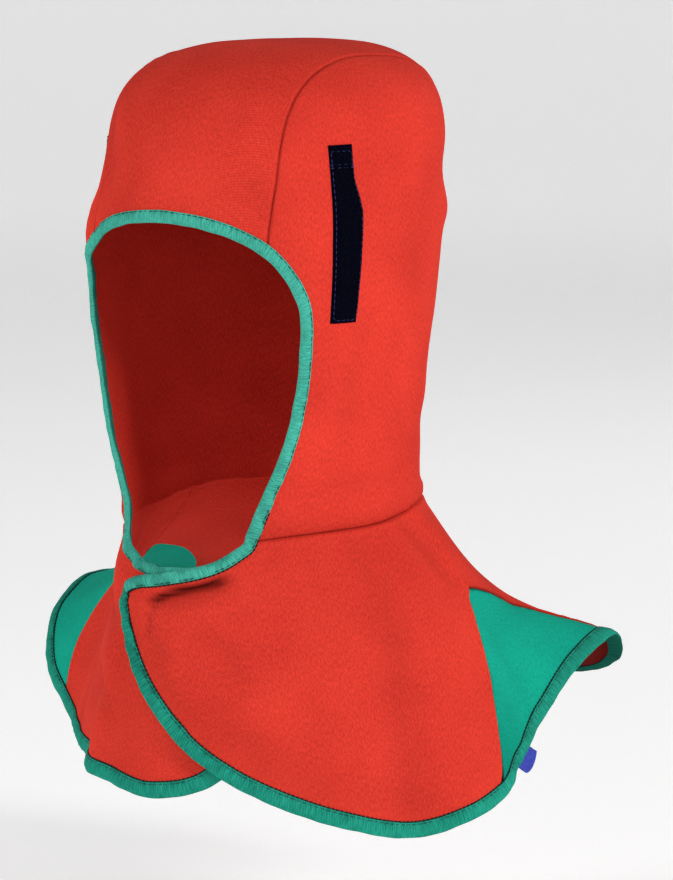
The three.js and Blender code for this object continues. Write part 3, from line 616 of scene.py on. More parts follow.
def seam_pucker(grid):
    """Small gathers where the sewing draws the cloth along a seam."""
    out = np.zeros(grid.shape[:2])
    across, along = so_far(grid, 1), so_far(grid)
    for gap, run_of in (
        (across, along), (across[:, -1:] - across, along), (along, across), (along[-1:] - along, across),
    ):
        wave = np.sin(run_of / 2.1 + 2 * np.sin(run_of / 11)) + 0.7 * np.sin(run_of / 1.37 + 1)
        out += 0.17 * wave * bump(gap, 0, 5.0) * smoothstep(0, 2.5, gap)
    return out


NORMALS = shared_normals(GRIDS)
# Shade painted into each panel's colour: under the chin fold, towards the low corner of the left gusset, and in
# the creases.
PAINTED_SHADES = {name: tucks(grid)[1] for name, grid in GRIDS.items()}
PAINTED_SHADES["front_cape_right"] *= 0
gusset = GRIDS["shoulder_gusset_left"]
# Painted shade, darker towards the low corner of the left gusset.
PAINTED_SHADES["shoulder_gusset_left"] += 0.42 * bump(np.linalg.norm(gusset - gusset[-1, 0], axis=-1), 0, 34)
for name, grid in GRIDS.items():
    # Painted shade in the creases, as deep as they sink.
    PAINTED_SHADES[name] = np.maximum(PAINTED_SHADES[name], 0.07 * (-soft_form(grid)).clip(0, 3))
    GRIDS[name] = grid + NORMALS[name] * (soft_form(grid) + seam_pucker(grid))[..., None]
NORMALS = shared_normals(GRIDS)

SEAM_LINES = {
    "crown": [GRIDS["crown_panel"][:, -1], GRIDS["crown_panel"][:, 0]],
    "neck": [GRIDS["side_panel_left"][-1], GRIDS["side_panel_right"][-1], GRIDS["crown_panel"][0]],
    "shoulder": [
        GRIDS["front_cape_left"][: CAPE_TOP + 1, -1], GRIDS["front_cape_right"][: CAPE_TOP + 1, 0],
    ],
    "gusset": [
        GRIDS["front_cape_left"][CAPE_TOP:, -1], GRIDS["front_cape_right"][CAPE_TOP:, 0],
        GRIDS["shoulder_gusset_left"][:, -1], GRIDS["shoulder_gusset_right"][:, 0],
    ],
}


def nearest(points, lines):
    """Distance from each point to the nearest of some lines."""
    flat = points.reshape(-1, 3)
    best = np.full(len(flat), 1e9)
    for line in lines:
        fine = spaced(line, max(8, len(line) * 3))
        for start in range(0, len(flat), 4000):
            some = flat[start : start + 4000]
            gap = np.sqrt(((some[:, None] - fine[None]) ** 2).sum(-1)).min(1)
            best[start : start + 4000] = np.minimum(best[start : start + 4000], gap)
    return best.reshape(points.shape[:-1])


# How each panel's outside rises next to a seam: seam, swell, and how far from the seam it is highest.
SEAM_RISE = {
    "crown_panel": [("crown", 0.45, 1.7), ("neck", 0.3, 3.0)],
    "side_panel_left": [("crown", 0.1, 3.0), ("neck", 1.5, 4.4)],
    "side_panel_right": [("crown", 0.1, 3.0), ("neck", 1.2, 5.0)],
    "front_cape_left": [("neck", 0.6, 2.0), ("shoulder", 2.4, 2.1), ("gusset", 1.3, 1.6)],
    "front_cape_right": [("neck", 0.6, 2.0), ("shoulder", 2.0, 2.1), ("gusset", 1.0, 1.6)],
    "back_cape": [("neck", 0.6, 2.0), ("gusset", 0.6, 1.6)],
    "shoulder_gusset_left": [],
    "shoulder_gusset_right": [],
}


def outer_rise(name, points):
    rise = np.zeros(points.shape[:-1])
    for seam, swell, where in SEAM_RISE[name]:
        gap = nearest(points, SEAM_LINES[seam])
        rise += swell * bump(gap, where, 0.75 * where)
    bound = [GRIDS["side_panel_left"][SEAM_FRONT:, 0], GRIDS["side_panel_right"][SEAM_FRONT:, -1]]
    bound += [grid[-1] for part, grid in GRIDS.items() if "cape" in part or "gusset" in part]
    rise = rise * smoothstep(6.0, 12.0, nearest(points, bound))
    groove = nearest(points, [line for lines in SEAM_LINES.values() for line in lines])
    return rise - 0.75 * bump(groove, 0, 0.6)


# Shade painted into the cloth along the seams: seam, depth of shade, and width.
SEAM_PAINTED_SHADE = {
    "crown_panel": [("crown", 0.5, 0.6)],
    "side_panel_left": [("crown", 0.5, 0.6), ("neck", 0.55, 1.0), ("neck", 0.16, 7.0)],
    "side_panel_right": [("crown", 0.5, 0.6), ("neck", 0.5, 1.0)],
    "front_cape_left": [("shoulder", 0.5, 0.6)],
    "front_cape_right": [("shoulder", 0.5, 0.6)],
    "back_cape": [("shoulder", 0.7, 0.9), ("gusset", 0.75, 0.9)],
    "shoulder_gusset_left": [("gusset", 1.0, 1.1)],
    "shoulder_gusset_right": [("gusset", 0.5, 0.8)],
}
# Shade painted on the inside of the cloth: a plain amount on every panel, and more next to the hem on these.
PLAIN_INSIDE_PAINTED_SHADE = 0.15
INSIDE_PAINTED_SHADE = {"back_cape": 0.92, "shoulder_gusset_left": 0.6, "shoulder_gusset_right": 0.5}


def painted_inside_shade(name, points):
    from_hem = nearest(points, [GRIDS[name][-1]])
    more = INSIDE_PAINTED_SHADE.get(name, PLAIN_INSIDE_PAINTED_SHADE) - PLAIN_INSIDE_PAINTED_SHADE
    return PLAIN_INSIDE_PAINTED_SHADE + more * bump(from_hem, 0, 42)


def painted_seam_shade(name, points):
    shade = np.zeros(points.shape[:-1])
    for seam, depth, width in SEAM_PAINTED_SHADE[name]:
        shade = np.maximum(shade, depth * bump(nearest(points, SEAM_LINES[seam]), 0, width))
    return shade


def finer_edges(values):
    """Extra lines next to the four edges of a grid."""
    for axis in (0, 1):
        values = np.swapaxes(values, 0, axis)
        first = [values[0] + (values[1] - values[0]) * t for t in (0.13, 0.3, 0.52, 0.75)]
        last = [values[-1] + (values[-2] - values[-1]) * t for t in (0.75, 0.52, 0.3, 0.13)]
        values = np.concatenate([values[:1], np.stack(first), values[1:-1], np.stack(last), values[-1:]])
        values = np.swapaxes(values, 0, axis)
    return values


def cloth_uv(grid):
    """Millimetres across and down the cloth from the middle of a grid."""
    across, down = so_far(grid, 1), so_far(grid)
    across -= across[:, grid.shape[1] // 2][:, None]
    down -= down[grid.shape[0] // 2][None]
    return np.stack([across, -down], -1)


def put(name, data):
    """Puts a new object in the scene."""
    placed = bpy.data.objects.new(name, data)
    bpy.context.scene.collection.objects.link(placed)
    return placed


def mesh_piece(name, points, faces, uv, material, painted_shade=None):
    """A closed mesh, outward faces, from millimetre points."""
    points = np.asarray(points, float).reshape(-1, 3)
    keys = np.round(points * 2000).astype(np.int64)
    _, first, where = np.unique(keys, axis=0, return_index=True, return_inverse=True)
    where = where.reshape(-1)
    rank = np.argsort(np.argsort(first))
    kept = points[np.sort(first)] / 1000.0
    where = rank[where]
    polygons, corners = [], []
    for face in faces:
        shared = [where[v] for v in face]
        loop = [v for k, v in enumerate(face) if shared[k] != shared[k - 1]]
        if len(loop) > 2:
            polygons.append([int(where[v]) for v in loop])
            corners.extend(loop)
    volume = sum(
        float(np.dot(kept[p[0]], np.cross(kept[p[k]], kept[p[k + 1]])))
        for p in polygons for k in range(1, len(p) - 1)
    )
    if volume < 0:
        sizes = [len(p) for p in polygons]
        ends = np.cumsum(sizes)
        corners = [c for size, end in zip(sizes, ends) for c in corners[end - size : end][::-1]]
        polygons = [p[::-1] for p in polygons]
    mesh = bpy.data.meshes.new(name)
    mesh.from_pydata(kept.tolist(), [], polygons)
    layer = mesh.uv_layers.new(name="cloth")
    layer.data.foreach_set("uv", np.asarray(uv, float).reshape(-1, 2)[corners].reshape(-1))
    if painted_shade is not None:
        shade = mesh.attributes.new("painted_shade", "FLOAT", "POINT")
        shade.data.foreach_set("value", np.asarray(painted_shade, float).reshape(-1)[np.sort(first)])
    mesh.shade_smooth()
    mesh.materials.append(material)
    mesh.update()
    return put(name, mesh)


def grid_faces(number):
    return np.stack([number[:-1, :-1], number[1:, :-1], number[1:, 1:], number[:-1, 1:]], -1).reshape(-1, 4)


def shell_faces(rows, columns):
    """Faces of a closed sheet: an outer grid, an inner grid and the rim between them."""
    number = np.arange(rows * columns).reshape(rows, columns)
    quads = grid_faces(number)
    inner = quads[:, ::-1] + rows * columns
    rim = np.concatenate([number[0, :-1], number[:-1, -1], number[-1, :0:-1], number[:0:-1, 0]])
    after = np.roll(rim, -1)
    sides = np.stack([rim, after, after + rows * columns, rim + rows * columns], -1)
    return np.concatenate([quads, inner, sides]).tolist()


def sheet_area(grid):
    """Area of a grid in square metres."""
    return float(np.linalg.norm(face_normals(grid), axis=-1).sum() / 2) / 1e6


def cloth_panel(name, material):
    grid = finer_edges(GRIDS[name])
    lean = unit(finer_edges(NORMALS[name]))
    rise = outer_rise(name, grid)
    outer = grid + lean * (CLOTH / 2 + rise)[..., None]
    inner = grid - lean * (CLOTH / 2 - 0.35 * np.clip(rise, 0, 9))[..., None]
    uv = cloth_uv(grid)
    shade = finer_edges(PAINTED_SHADES[name]) + painted_seam_shade(name, grid)
    piece = mesh_piece(
        name, np.concatenate([outer, inner]), shell_faces(*grid.shape[:2]), np.concatenate([uv, uv]), material,
        np.concatenate([shade, painted_inside_shade(name, grid)]),
    )
    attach(piece, "root")
    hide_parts(name)
    area = sheet_area(GRIDS[name])
    width, length = ((so_far(GRIDS[name], axis).max() + 2 * SEAM_ALLOWANCE) / 1000 for axis in (1, 0))


def joined(parts):
    return np.concatenate([parts[0]] + [part[1:] for part in parts[1:]])


def edge_runs():
    """The bound edges: once round the face opening, and once down the fronts and round the hem."""
    left, right = GRIDS["front_cape_left"], GRIDS["front_cape_right"]
    face = joined([
        right[0, ::-1][: RIGHT_CHIN + 1],
        GRIDS["side_panel_right"][SEAM_FRONT:, -1][::-1],
        GRIDS["crown_panel"][-1],
        GRIDS["side_panel_left"][SEAM_FRONT:, 0],
        left[0, : CHIN_STEPS + 1][::-1],
    ])
    hem = joined([
        left[:, 0],
        left[-1],
        GRIDS["shoulder_gusset_left"][-1],
        GRIDS["back_cape"][-1],
        GRIDS["shoulder_gusset_right"][-1],
        right[-1],
        right[::-1, -1],
    ])
    return face, hem


def smooth_run(values, steps):
    """A running mean along a line that keeps its ends."""
    for _ in range(steps):
        values = np.concatenate(
            [values[:1], (values[:-2] + 2 * values[1:-1] + values[2:]) / 4, values[-1:]]
        )
    return values


def cloth_tree(*names):
    points, polygons, start = [], [], 0
    for name in names:
        grid = GRIDS[name]
        number = np.arange(grid.size // 3).reshape(grid.shape[:2]) + start
        points.append(grid.reshape(-1, 3))
        polygons.extend(grid_faces(number).tolist())
        start += number.size
    return BVHTree.FromPolygons(np.concatenate(points).tolist(), polygons)


# The folded tape's outline: distance in from the edge as a share of its width, and height over the cloth.
BINDING_OUTLINE = np.array([
    (0.960, 0.76), (1.002, 0.95), (0.995, 1.25), (0.950, 1.48), (0.893, 1.42), (0.840, 1.3), (0.788, 1.42),
    (0.70, 1.66), (0.55, 1.84), (0.37, 1.92), (0.184, 1.88), (0.046, 1.68), (-0.6, 1.3), (-1.25, 0.72),
    (-1.48, 0.0), (-1.25, -0.72), (-0.6, -1.3), (0.046, -1.64), (0.25, -1.78), (0.53, -1.7), (0.79, -1.5),
    (0.943, -1.42), (0.995, -1.15), (0.960, -0.76), (0.69, -0.76), (0.34, -0.76), (0.034, -0.76),
    (-0.36, -0.42), (-0.5, 0.0), (-0.36, 0.42), (0.034, 0.76), (0.34, 0.76), (0.69, 0.76),
])
# Where the folded tape is crushed: place, reach, and height in millimetres
CRUSHED = [
    ((-14, -98, -246), 26, 1.0),
    ((22, -92, -240), 22, 0.7),
    ((52, -62, -216), 22, 0.9),
    ((60, -50, -200), 18, 0.35),
    ((-8, -100, -272), 22, 0.7),
    ((104, 30, -352), 18, 0.8),
    ((-150, 40, -300), 30, 0.4),
]


def edge_stations(line, trees, width, before=None, after=None):
    """Places along a bound edge: the edge, the cloth behind it and its normals."""
    steps_in = np.array([0, 0.14, 0.3, 0.48, 0.67, 0.83, 1.0]) * width
    count = int(round(so_far(line)[-1] / 1.9))
    edge = smooth_run(spaced(line, count), 3)
    ahead = np.gradient(edge, axis=0)
    if before is not None:
        ahead[0] = edge[1] - before
    if after is not None:
        ahead[-1] = after - edge[-2]
    ahead = unit(ahead)
    tree_of = [trees(k / count) for k in range(len(edge))]
    lean = smooth_run(np.array([tree.find_nearest(Vector(p))[1] for tree, p in zip(tree_of, edge)]), 12)
    lean = unit(lean - (lean * ahead).sum(1, keepdims=True) * ahead)
    inward = unit(smooth_run(np.cross(lean, ahead), 10))
    cloth = np.zeros((len(edge), len(steps_in), 3))
    for k in range(len(edge)):
        cloth[k, 0] = edge[k]
        for m, gap in enumerate(steps_in[1:], 1):
            guess = Vector(cloth[k, m - 1] + inward[k] * (gap - steps_in[m - 1]))
            up = Vector(lean[k])
            spot = tree_of[k].ray_cast(guess + up * 7, -up, 14)[0]
            if spot is None:
                spot = tree_of[k].find_nearest(guess)[0]
            cloth[k, m] = spot
    for m in range(1, len(steps_in)):
        cloth[:, m] = smooth_run(cloth[:, m], 2)
    normals = unit(np.cross(np.gradient(cloth, axis=0), np.gradient(cloth, axis=1)))
    if (normals[:, 0] * lean).sum() < 0:
        normals = -normals
    return cloth, normals, inward, steps_in


def crumple(points, where):
    """Small folds of the crushed tape."""
    weight = np.zeros(points.shape[:-1])
    for place, reach, height in CRUSHED:
        gap = np.linalg.norm(points - np.array(place), axis=-1)
        weight += height * bump(gap, 0, reach)
    x, y, z = points[..., 0], points[..., 1], points[..., 2]
    folds = np.sin(x / 2.3 + z / 3.1 + 2 * np.sin(y / 5)) + 0.6 * np.sin(z / 1.9 - x / 3.7 + where)
    return weight * folds


def behind_edge(stations, gap):
    """Places on the cloth, and its normals, at a distance in from a bound edge."""
    cloth, normals, inward, steps_in = stations
    if gap < 0:
        return cloth[:, 0] + inward * gap, normals[:, 0]
    k = int(np.clip(np.searchsorted(steps_in, gap) - 1, 0, len(steps_in) - 2))
    t = (gap - steps_in[k]) / (steps_in[k + 1] - steps_in[k])
    return cloth[:, k] * (1 - t) + cloth[:, k + 1] * t, normals[:, k] * (1 - t) + normals[:, k + 1] * t


def sewn_row(stations, share, height):
    """The line a row of stitches follows on the outside of a binding."""
    place, up = behind_edge(stations, share * stations[3][-1])
    return place + up * height


def binding_strip(name, stations, material):
    cloth, _, inward, steps_in = stations
    tape = steps_in[-1]
    gaps, heights = BINDING_OUTLINE.T.copy()
    gaps = np.where(gaps > 0, gaps * tape, gaps)
    count, width = len(cloth), len(gaps)
    place, up = (np.stack(rows, 1) for rows in zip(*(behind_edge(stations, gap) for gap in gaps)))
    along = so_far(cloth[:, 0])
    s = along[:, None]
    skin = (np.abs(heights) > 0.9) | (gaps < -1)
    pinch = 0.16 * np.sin(s / 0.93 + 0.7 * np.sin(s / 9)) * bump(gaps, 0.68 * tape, 1.5)
    swell = 0.14 * np.sin(s / 3.6 + gaps / 2.6 + np.sin(s / 17)) + 0.08 * np.sin(s / 1.7 - gaps / 1.4)
    lift = np.maximum(np.where(skin, pinch + swell + crumple(place, gaps), 0) * np.sign(heights), -0.35)
    nose = np.where(gaps < 0, 0.1 * np.sin(s / 4.3) + 0.08 * np.sin(s / 2.1), 0)
    points = place + unit(up) * (heights + lift)[..., None] - inward[:, None] * nose[..., None]
    number = np.arange(count * width).reshape(count, width)
    after = np.roll(number, -1, axis=1)
    quads = np.stack([number[:-1], number[1:], after[1:], after[:-1]], -1).reshape(-1, 4).tolist()
    faces = quads + [number[0].tolist(), number[-1, ::-1].tolist()]
    uv = np.stack(np.broadcast_arrays(s, so_far(BINDING_OUTLINE)), -1)
    # Shade painted on the underside of the folded tape and in its crushed folds.
    under = np.maximum((heights < -0.5) * 0.7, (-lift * np.sign(heights) * 0.55).clip(0, 0.85))
    piece = mesh_piece(name, points, faces, uv, material, under)
    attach(piece, "root")
    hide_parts(name)


# Sewing
def node_maker(tree):
    """Adds nodes to a tree: kind, values or source sockets for the inputs, and settings."""
    def add(kind, inputs=None, **settings):
        node = tree.nodes.new(kind)
        for title, value in settings.items():
            setattr(node, title, value)
        for title, value in (inputs or {}).items():
            if isinstance(value, bpy.types.NodeSocket):
                tree.links.new(value, node.inputs[title])
            else:
                node.inputs[title].default_value = value
        return node

    return add


def sewing_tree(name, inputs, output):
    """A geometry tree with named inputs: title, kind and value."""
    tree = bpy.data.node_groups.new(name, "GeometryNodeTree")
    for title, kind, value in inputs:
        socket = tree.interface.new_socket(title, in_out="INPUT", socket_type="NodeSocket" + kind)
        if value is not None:
            socket.default_value = value
    tree.interface.new_socket(output, in_out="OUTPUT", socket_type="NodeSocketGeometry")
    return tree, node_maker(tree)


def lay_copies(add, points, copy, rotation, scale, material, output):
    """The end of a tree: copies on points, made one mesh of one material."""
    laid = add("GeometryNodeInstanceOnPoints", {
        "Points": points, "Instance": copy.outputs["Mesh"],
        "Rotation": rotation, "Scale": scale.outputs["Vector"],
    })
    whole = add("GeometryNodeRealizeInstances", {"Geometry": laid.outputs["Instances"]})
    dyed = add("GeometryNodeSetMaterial", {"Geometry": whole.outputs["Geometry"], "Material": material})
    add("NodeGroupOutput", {output: dyed.outputs["Geometry"]})


def stitch_tree():
    """Geometry nodes that lay one thread stitch after another along a line."""
    tree, add = sewing_tree("sewn stitches", (
        ("Line", "Geometry", None), ("Stitch length", "Float", 0.0032), ("Thread radius", "Float", 0.0003),
        ("Gap share", "Float", 0.25), ("Thread", "Material", None),
    ), "Stitches")
    start = add("NodeGroupInput").outputs
    pitch, radius = start["Stitch length"], start["Thread radius"]
    places = add("GeometryNodeResampleCurve", {"Curve": start["Line"], "Length": pitch}, mode="LENGTH")
    heading = add("GeometryNodeInputTangent").outputs["Tangent"]
    turn = add("FunctionNodeAlignRotationToVector", {"Vector": heading}, axis="Z")
    stitch = add("GeometryNodeMeshUVSphere", {"Segments": 8, "Rings": 6, "Radius": 1.0})
    half = add("ShaderNodeMath", {0: pitch, 1: 0.5}, operation="MULTIPLY")
    share = add("ShaderNodeMath", {0: 1.0, 1: start["Gap share"]}, operation="SUBTRACT")
    length = add("ShaderNodeMath", {0: half.outputs[0], 1: share.outputs[0]}, operation="MULTIPLY")
    size = add("ShaderNodeCombineXYZ", {"X": radius, "Y": radius, "Z": length.outputs[0]})
    lay_copies(
        add, places.outputs["Curve"], stitch, turn.outputs["Rotation"], size, start["Thread"], "Stitches"
    )
    return tree


def pile_tree():
    """Geometry nodes that scatter short loops of pile over a tape."""
    tree, add = sewing_tree("tape pile", (
        ("Tape", "Geometry", None), ("Loops per square metre", "Float", 3.5e6),
        ("Loop radius", "Float", 0.00022), ("Seed", "Int", 7), ("Pile", "Material", None),
    ), "Loops")
    start = add("NodeGroupInput").outputs
    seed = start["Seed"]
    scatter = add("GeometryNodeDistributePointsOnFaces", {
        "Mesh": start["Tape"], "Density": start["Loops per square metre"], "Seed": seed,
    })
    loop = add("GeometryNodeMeshUVSphere", {"Segments": 6, "Rings": 4, "Radius": 1.0})

    def random(low, high):
        ends = {"Min": low, "Max": high, "Seed": seed}
        return add("FunctionNodeRandomValue", ends, data_type="FLOAT_VECTOR").outputs["Value"]

    length = random((0.7, 0.7, 1.2), (1.5, 1.1, 3.0))
    scale = add("ShaderNodeVectorMath", {0: length, "Scale": start["Loop radius"]}, operation="SCALE")
    spin = add("FunctionNodeEulerToRotation", {0: random((-0.6, -0.6, 0.0), (0.6, 0.6, 6.28))}).outputs[0]
    upright = scatter.outputs["Rotation"]
    turn = add("FunctionNodeRotateRotation", {0: upright, 1: spin}, rotation_space="LOCAL")
    lay_copies(add, scatter.outputs["Points"], loop, turn.outputs[0], scale, start["Pile"], "Loops")
    return tree


def grown(source, tree, values, name):
    """A plain mesh made by a node tree on an object, which is then removed."""
    modifier = source.modifiers.new("made", "NODES")
    modifier.node_group = tree
    titles = {item.name: item.identifier for item in tree.interface.items_tree if item.in_out == "INPUT"}
    for title, value in values.items():
        modifier[titles[title]] = value
    bpy.context.view_layer.update()
    ready = source.evaluated_get(bpy.context.evaluated_depsgraph_get())
    mesh = bpy.data.meshes.new_from_object(ready)
    source.modifiers.remove(modifier)
    old = source.data
    bpy.data.objects.remove(source)
    if old.users == 0 and isinstance(old, bpy.types.Curve):
        bpy.data.curves.remove(old)
    mesh.name = name
    mesh.shade_smooth()
    return put(name, mesh)


STITCHES = stitch_tree()
PILE = pile_tree()


def thread_line(name, lines):
    curve = bpy.data.curves.new(name, "CURVE")
    curve.dimensions = "3D"
    for line in lines:
        spline = curve.splines.new("POLY")
        spline.points.add(len(line) - 1)
        flat = np.concatenate([np.asarray(line) / 1000.0, np.ones((len(line), 1))], 1)
        spline.points.foreach_set("co", flat.reshape(-1))
    return put(name + "_line", curve)


def stitches(name, lines, thread, pitch=3.2, radius=0.28, gap=0.22):
    values = {
        "Stitch length": pitch / 1000, "Thread radius": radius / 1000, "Gap share": gap, "Thread": thread,
    }
    piece = grown(thread_line(name, lines), STITCHES, values, name)
    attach(piece, "root")


def on_cloth(tree, start, lean, height):
    """Places on the outside of the cloth under some guesses."""
    out = []
    for p, n in zip(start, lean):
        up = Vector(n).normalized()
        spot, normal, _, _ = tree.ray_cast(Vector(p) + up * 14, -up, 28)
        if spot is None:
            spot, normal, _, _ = tree.find_nearest(Vector(p))
        out.append(np.array(spot) + np.array(normal) * height)
    return np.array(out)


# Tapes
TAPE_LENGTH, TAPE_TOP = 82.0, 44.0
# Share of the way down, and where the left and right edges lie, as the tape was sewn on a little askew.
TAPE_EDGES = np.array([
    (0.00, -6.6, 5.6), (0.10, -6.2, 6.0), (0.20, -5.8, 7.0), (0.30, -5.6, 9.6), (0.38, -5.6, 11.2),
    (0.50, -5.9, 11.0), (0.65, -6.4, 9.9), (0.85, -7.2, 8.0), (1.00, -7.7, 6.8),
])


def tape_grid(tree, middle, rows, columns):
    """Mid places of a tape sewn on the side of the head, and their normals."""
    v = np.linspace(0, 1, rows)[:, None]
    u = np.linspace(-1, 1, columns)[None]
    depth = TAPE_TOP + TAPE_LENGTH * v + 0.25 * u * (v - 0.5)
    left, right = (np.interp(v, TAPE_EDGES[:, 0], TAPE_EDGES[:, k]) for k in (1, 2))
    turn = middle + np.degrees((left + (right - left) * (u + 1) / 2) / head_radius(middle, depth))
    guess = on_head(turn, depth)
    down = on_head(turn, depth + 0.5) - on_head(turn, depth - 0.5)
    lean = unit(np.cross(down, on_head(turn + 0.5, depth) - on_head(turn - 0.5, depth)))
    spots = on_cloth(tree, guess.reshape(-1, 3), lean.reshape(-1, 3), 0.0).reshape(guess.shape)
    return spots, lean


def tape_strip(name, grid, lean, base, thick, material, edge_round=0.45):
    """A flat woven tape with soft edges."""
    rows, columns = grid.shape[:2]
    i = np.linspace(0, 1, rows)[:, None]
    j = np.linspace(0, 1, columns)[None]
    length, width = so_far(grid[:, columns // 2])[-1], so_far(grid[rows // 2])[-1]
    gap = np.minimum(np.minimum(i, 1 - i) * length, np.minimum(j, 1 - j) * width)
    fall = 1.6 * edge_round * bump(gap, 0, 0.5)
    seam = 0.28 * bump(gap, 2.0, 0.7)
    ripple = 0.10 * np.sin(i * length / 4.1 + 1.3) * bump(gap, 0, 4)
    outer = grid + lean * (base + thick - fall - seam + ripple)[..., None]
    inner = grid + lean * base
    uv = cloth_uv(grid)
    piece = mesh_piece(
        name, np.concatenate([outer, inner]).reshape(-1, 3), shell_faces(rows, columns),
        np.concatenate([uv, uv]), material,
    )
    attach(piece, "root")
    return piece, (width / 1000, length / 1000)


def tape_pile_ground(name, grid):
    """The face of a tape that its pile grows on."""
    mesh = bpy.data.meshes.new(name)
    number = np.arange(grid.size // 3).reshape(grid.shape[:2])
    mesh.from_pydata((grid.reshape(-1, 3) / 1000.0).tolist(), [], grid_faces(number).tolist())
    return put(name, mesh)


# Cloth and thread finishes
def finish(name, roughness, specular):
    material = bpy.data.materials.new(name)
    material.use_nodes = True
    shader = material.node_tree.nodes["Principled BSDF"]
    shader.inputs["Roughness"].default_value = roughness
    shader.inputs["Specular IOR Level"].default_value = specular
    return material, shader


def linear(red, green, blue):
    share = np.array([red, green, blue]) / 255
    return tuple(float(c / 12.92 if c <= 0.04045 else ((c + 0.055) / 1.055) ** 2.4) for c in share) + (1,)


def woven(name, light, dark, rib=1.0, depth=0.16):
    """Twill: fine slanting ribs, uneven yarns, a slightly clouded dye, and shade painted into the colour where
    the piece's shade attribute asks for it.
    """
    material, shader = finish(name, 1.0, 0.03)
    add = node_maker(material.node_tree)
    cloth = add("ShaderNodeUVMap", uv_map="cloth").outputs["UV"]
    slant = add("ShaderNodeMapping", {"Vector": cloth, "Rotation": (0, 0, math.radians(52))})
    ribs = add("ShaderNodeTexWave", wave_type="BANDS", bands_direction="X", inputs={
        "Vector": slant.outputs["Vector"], "Scale": 0.314 / rib,
        "Distortion": 0.8, "Detail": 1.0, "Detail Scale": 2.0,
    })
    stretch = add("ShaderNodeMapping", {"Vector": cloth, "Scale": (1.0, 0.45, 1)})
    yarn = add("ShaderNodeTexNoise", {
        "Vector": stretch.outputs["Vector"], "Scale": 1.1, "Detail": 4.0, "Roughness": 0.65,
    })
    place = add("ShaderNodeTexCoord").outputs["Object"]
    cloud = add("ShaderNodeTexNoise", {"Vector": place, "Scale": 26.0, "Detail": 3.0})

    def blend(*parts):
        total = 0.0
        for texture, weight in parts:
            total = add(
                "ShaderNodeMath", {0: texture.outputs["Fac"], 1: weight, 2: total}, operation="MULTIPLY_ADD"
            ).outputs[0]
        return total

    dye = add("ShaderNodeValToRGB", {"Fac": blend((ribs, 0.13), (yarn, 0.95), (cloud, 0.35))})
    for stop, position, colour in zip(dye.color_ramp.elements, (0.36, 1.0), (dark, light)):
        stop.position = position
        stop.color = colour
    # Painted shade: the mesh's shade attribute darkens the dye towards a near-black copy of it.
    painted_shade = add("ShaderNodeAttribute", attribute_name="painted_shade").outputs["Fac"]
    painted_shade_colour = tuple(0.06 * c for c in dark[:3]) + (1,)
    dye_and_painted_shade = {"A": dye.outputs["Color"], "B": painted_shade_colour, "Factor": painted_shade}
    deep = add("ShaderNodeMix", dye_and_painted_shade, data_type="RGBA")
    relief = add("ShaderNodeBump", {
        "Strength": 0.6, "Distance": depth / 1000, "Height": blend((ribs, 0.42), (yarn, 0.8)),
    })
    material.node_tree.links.new(deep.outputs["Result"], shader.inputs["Base Color"])
    material.node_tree.links.new(relief.outputs["Normal"], shader.inputs["Normal"])
    return material


RED = woven("red twill", linear(234, 68, 52), linear(172, 36, 31))
GREEN = woven("green twill", linear(25, 180, 152), linear(10, 128, 108))
# One green tape in two copies: painted lighter round the face, where light falls on it, and darker round the
# hem, which faces down into shade.
FACE_TAPE_PAINTED_LIT = woven("green face binding", linear(86, 198, 176), linear(18, 108, 92), rib=0.8, depth=0.25)
HEM_TAPE_PAINTED_SHADED = woven("green hem binding", linear(44, 172, 146), linear(4, 80, 66), rib=0.8, depth=0.25)
NAVY = woven("navy tape", linear(5, 6, 26), linear(0, 0, 7), rib=0.9, depth=0.25)
BLUE = woven("blue tape", linear(86, 98, 200), linear(30, 40, 140), rib=0.7)


def plain(name, colour, roughness=0.6, specular=0.25):
    material, shader = finish(name, roughness, specular)
    shader.inputs["Base Color"].default_value = colour
    return material


GREEN_THREAD = plain("dark green thread", linear(14, 84, 72))
# A near-black thread laid along each binding's inner edge as a painted shadow line.
EDGE_SHADOW_THREAD = plain("edge shadow thread", linear(4, 30, 26), 0.9)
RED_THREAD = plain("red thread", linear(206, 60, 52))
NAVY_THREAD = plain("navy thread", linear(30, 40, 92), 0.45)
PILE_YARN = plain("navy pile", linear(2, 3, 15), 0.8, specular=0.08)


# The hood
for name in GRIDS:
    green = name.startswith("shoulder_gusset")
    cloth_panel(name, GREEN if green else RED)

LEFT_SIDE = cloth_tree(*[n for n in GRIDS if n != "front_cape_right"])
RIGHT_SIDE = cloth_tree(*[n for n in GRIDS if n != "front_cape_left"])
FACE_RUN, HEM_RUN = edge_runs()
FACE_STATIONS = edge_stations(
    FACE_RUN, lambda share: RIGHT_SIDE if share < 0.35 else LEFT_SIDE, FACE_BINDING, after=HEM_RUN[2]
)
HEM_STATIONS = edge_stations(
    HEM_RUN, lambda share: LEFT_SIDE if share < 0.5 else RIGHT_SIDE, HEM_BINDING, before=FACE_RUN[-3]
)
binding_strip("face_binding", FACE_STATIONS, FACE_TAPE_PAINTED_LIT)
binding_strip("hem_binding", HEM_STATIONS, HEM_TAPE_PAINTED_SHADED)
# Each binding is stitched near its inner edge; along that edge, from some share of its length on, a row of
# near-black thread stands in for the shadow there.
for edge, stations, from_share in (("face", FACE_STATIONS, 0.85), ("hem", HEM_STATIONS, 0.0)):
    sewn = sewn_row(stations, 0.84, 1.36)
    stitches(edge + "_binding_stitches", [sewn], GREEN_THREAD, pitch=3.0)
    row = sewn_row(stations, 1.0, 0.85) + stations[2] * 0.25
    row = row[int(from_share * len(row)) :]
    stitches(edge + "_edge_shadow_thread", [row], EDGE_SHADOW_THREAD, pitch=2.2, radius=0.46, gap=0.05)

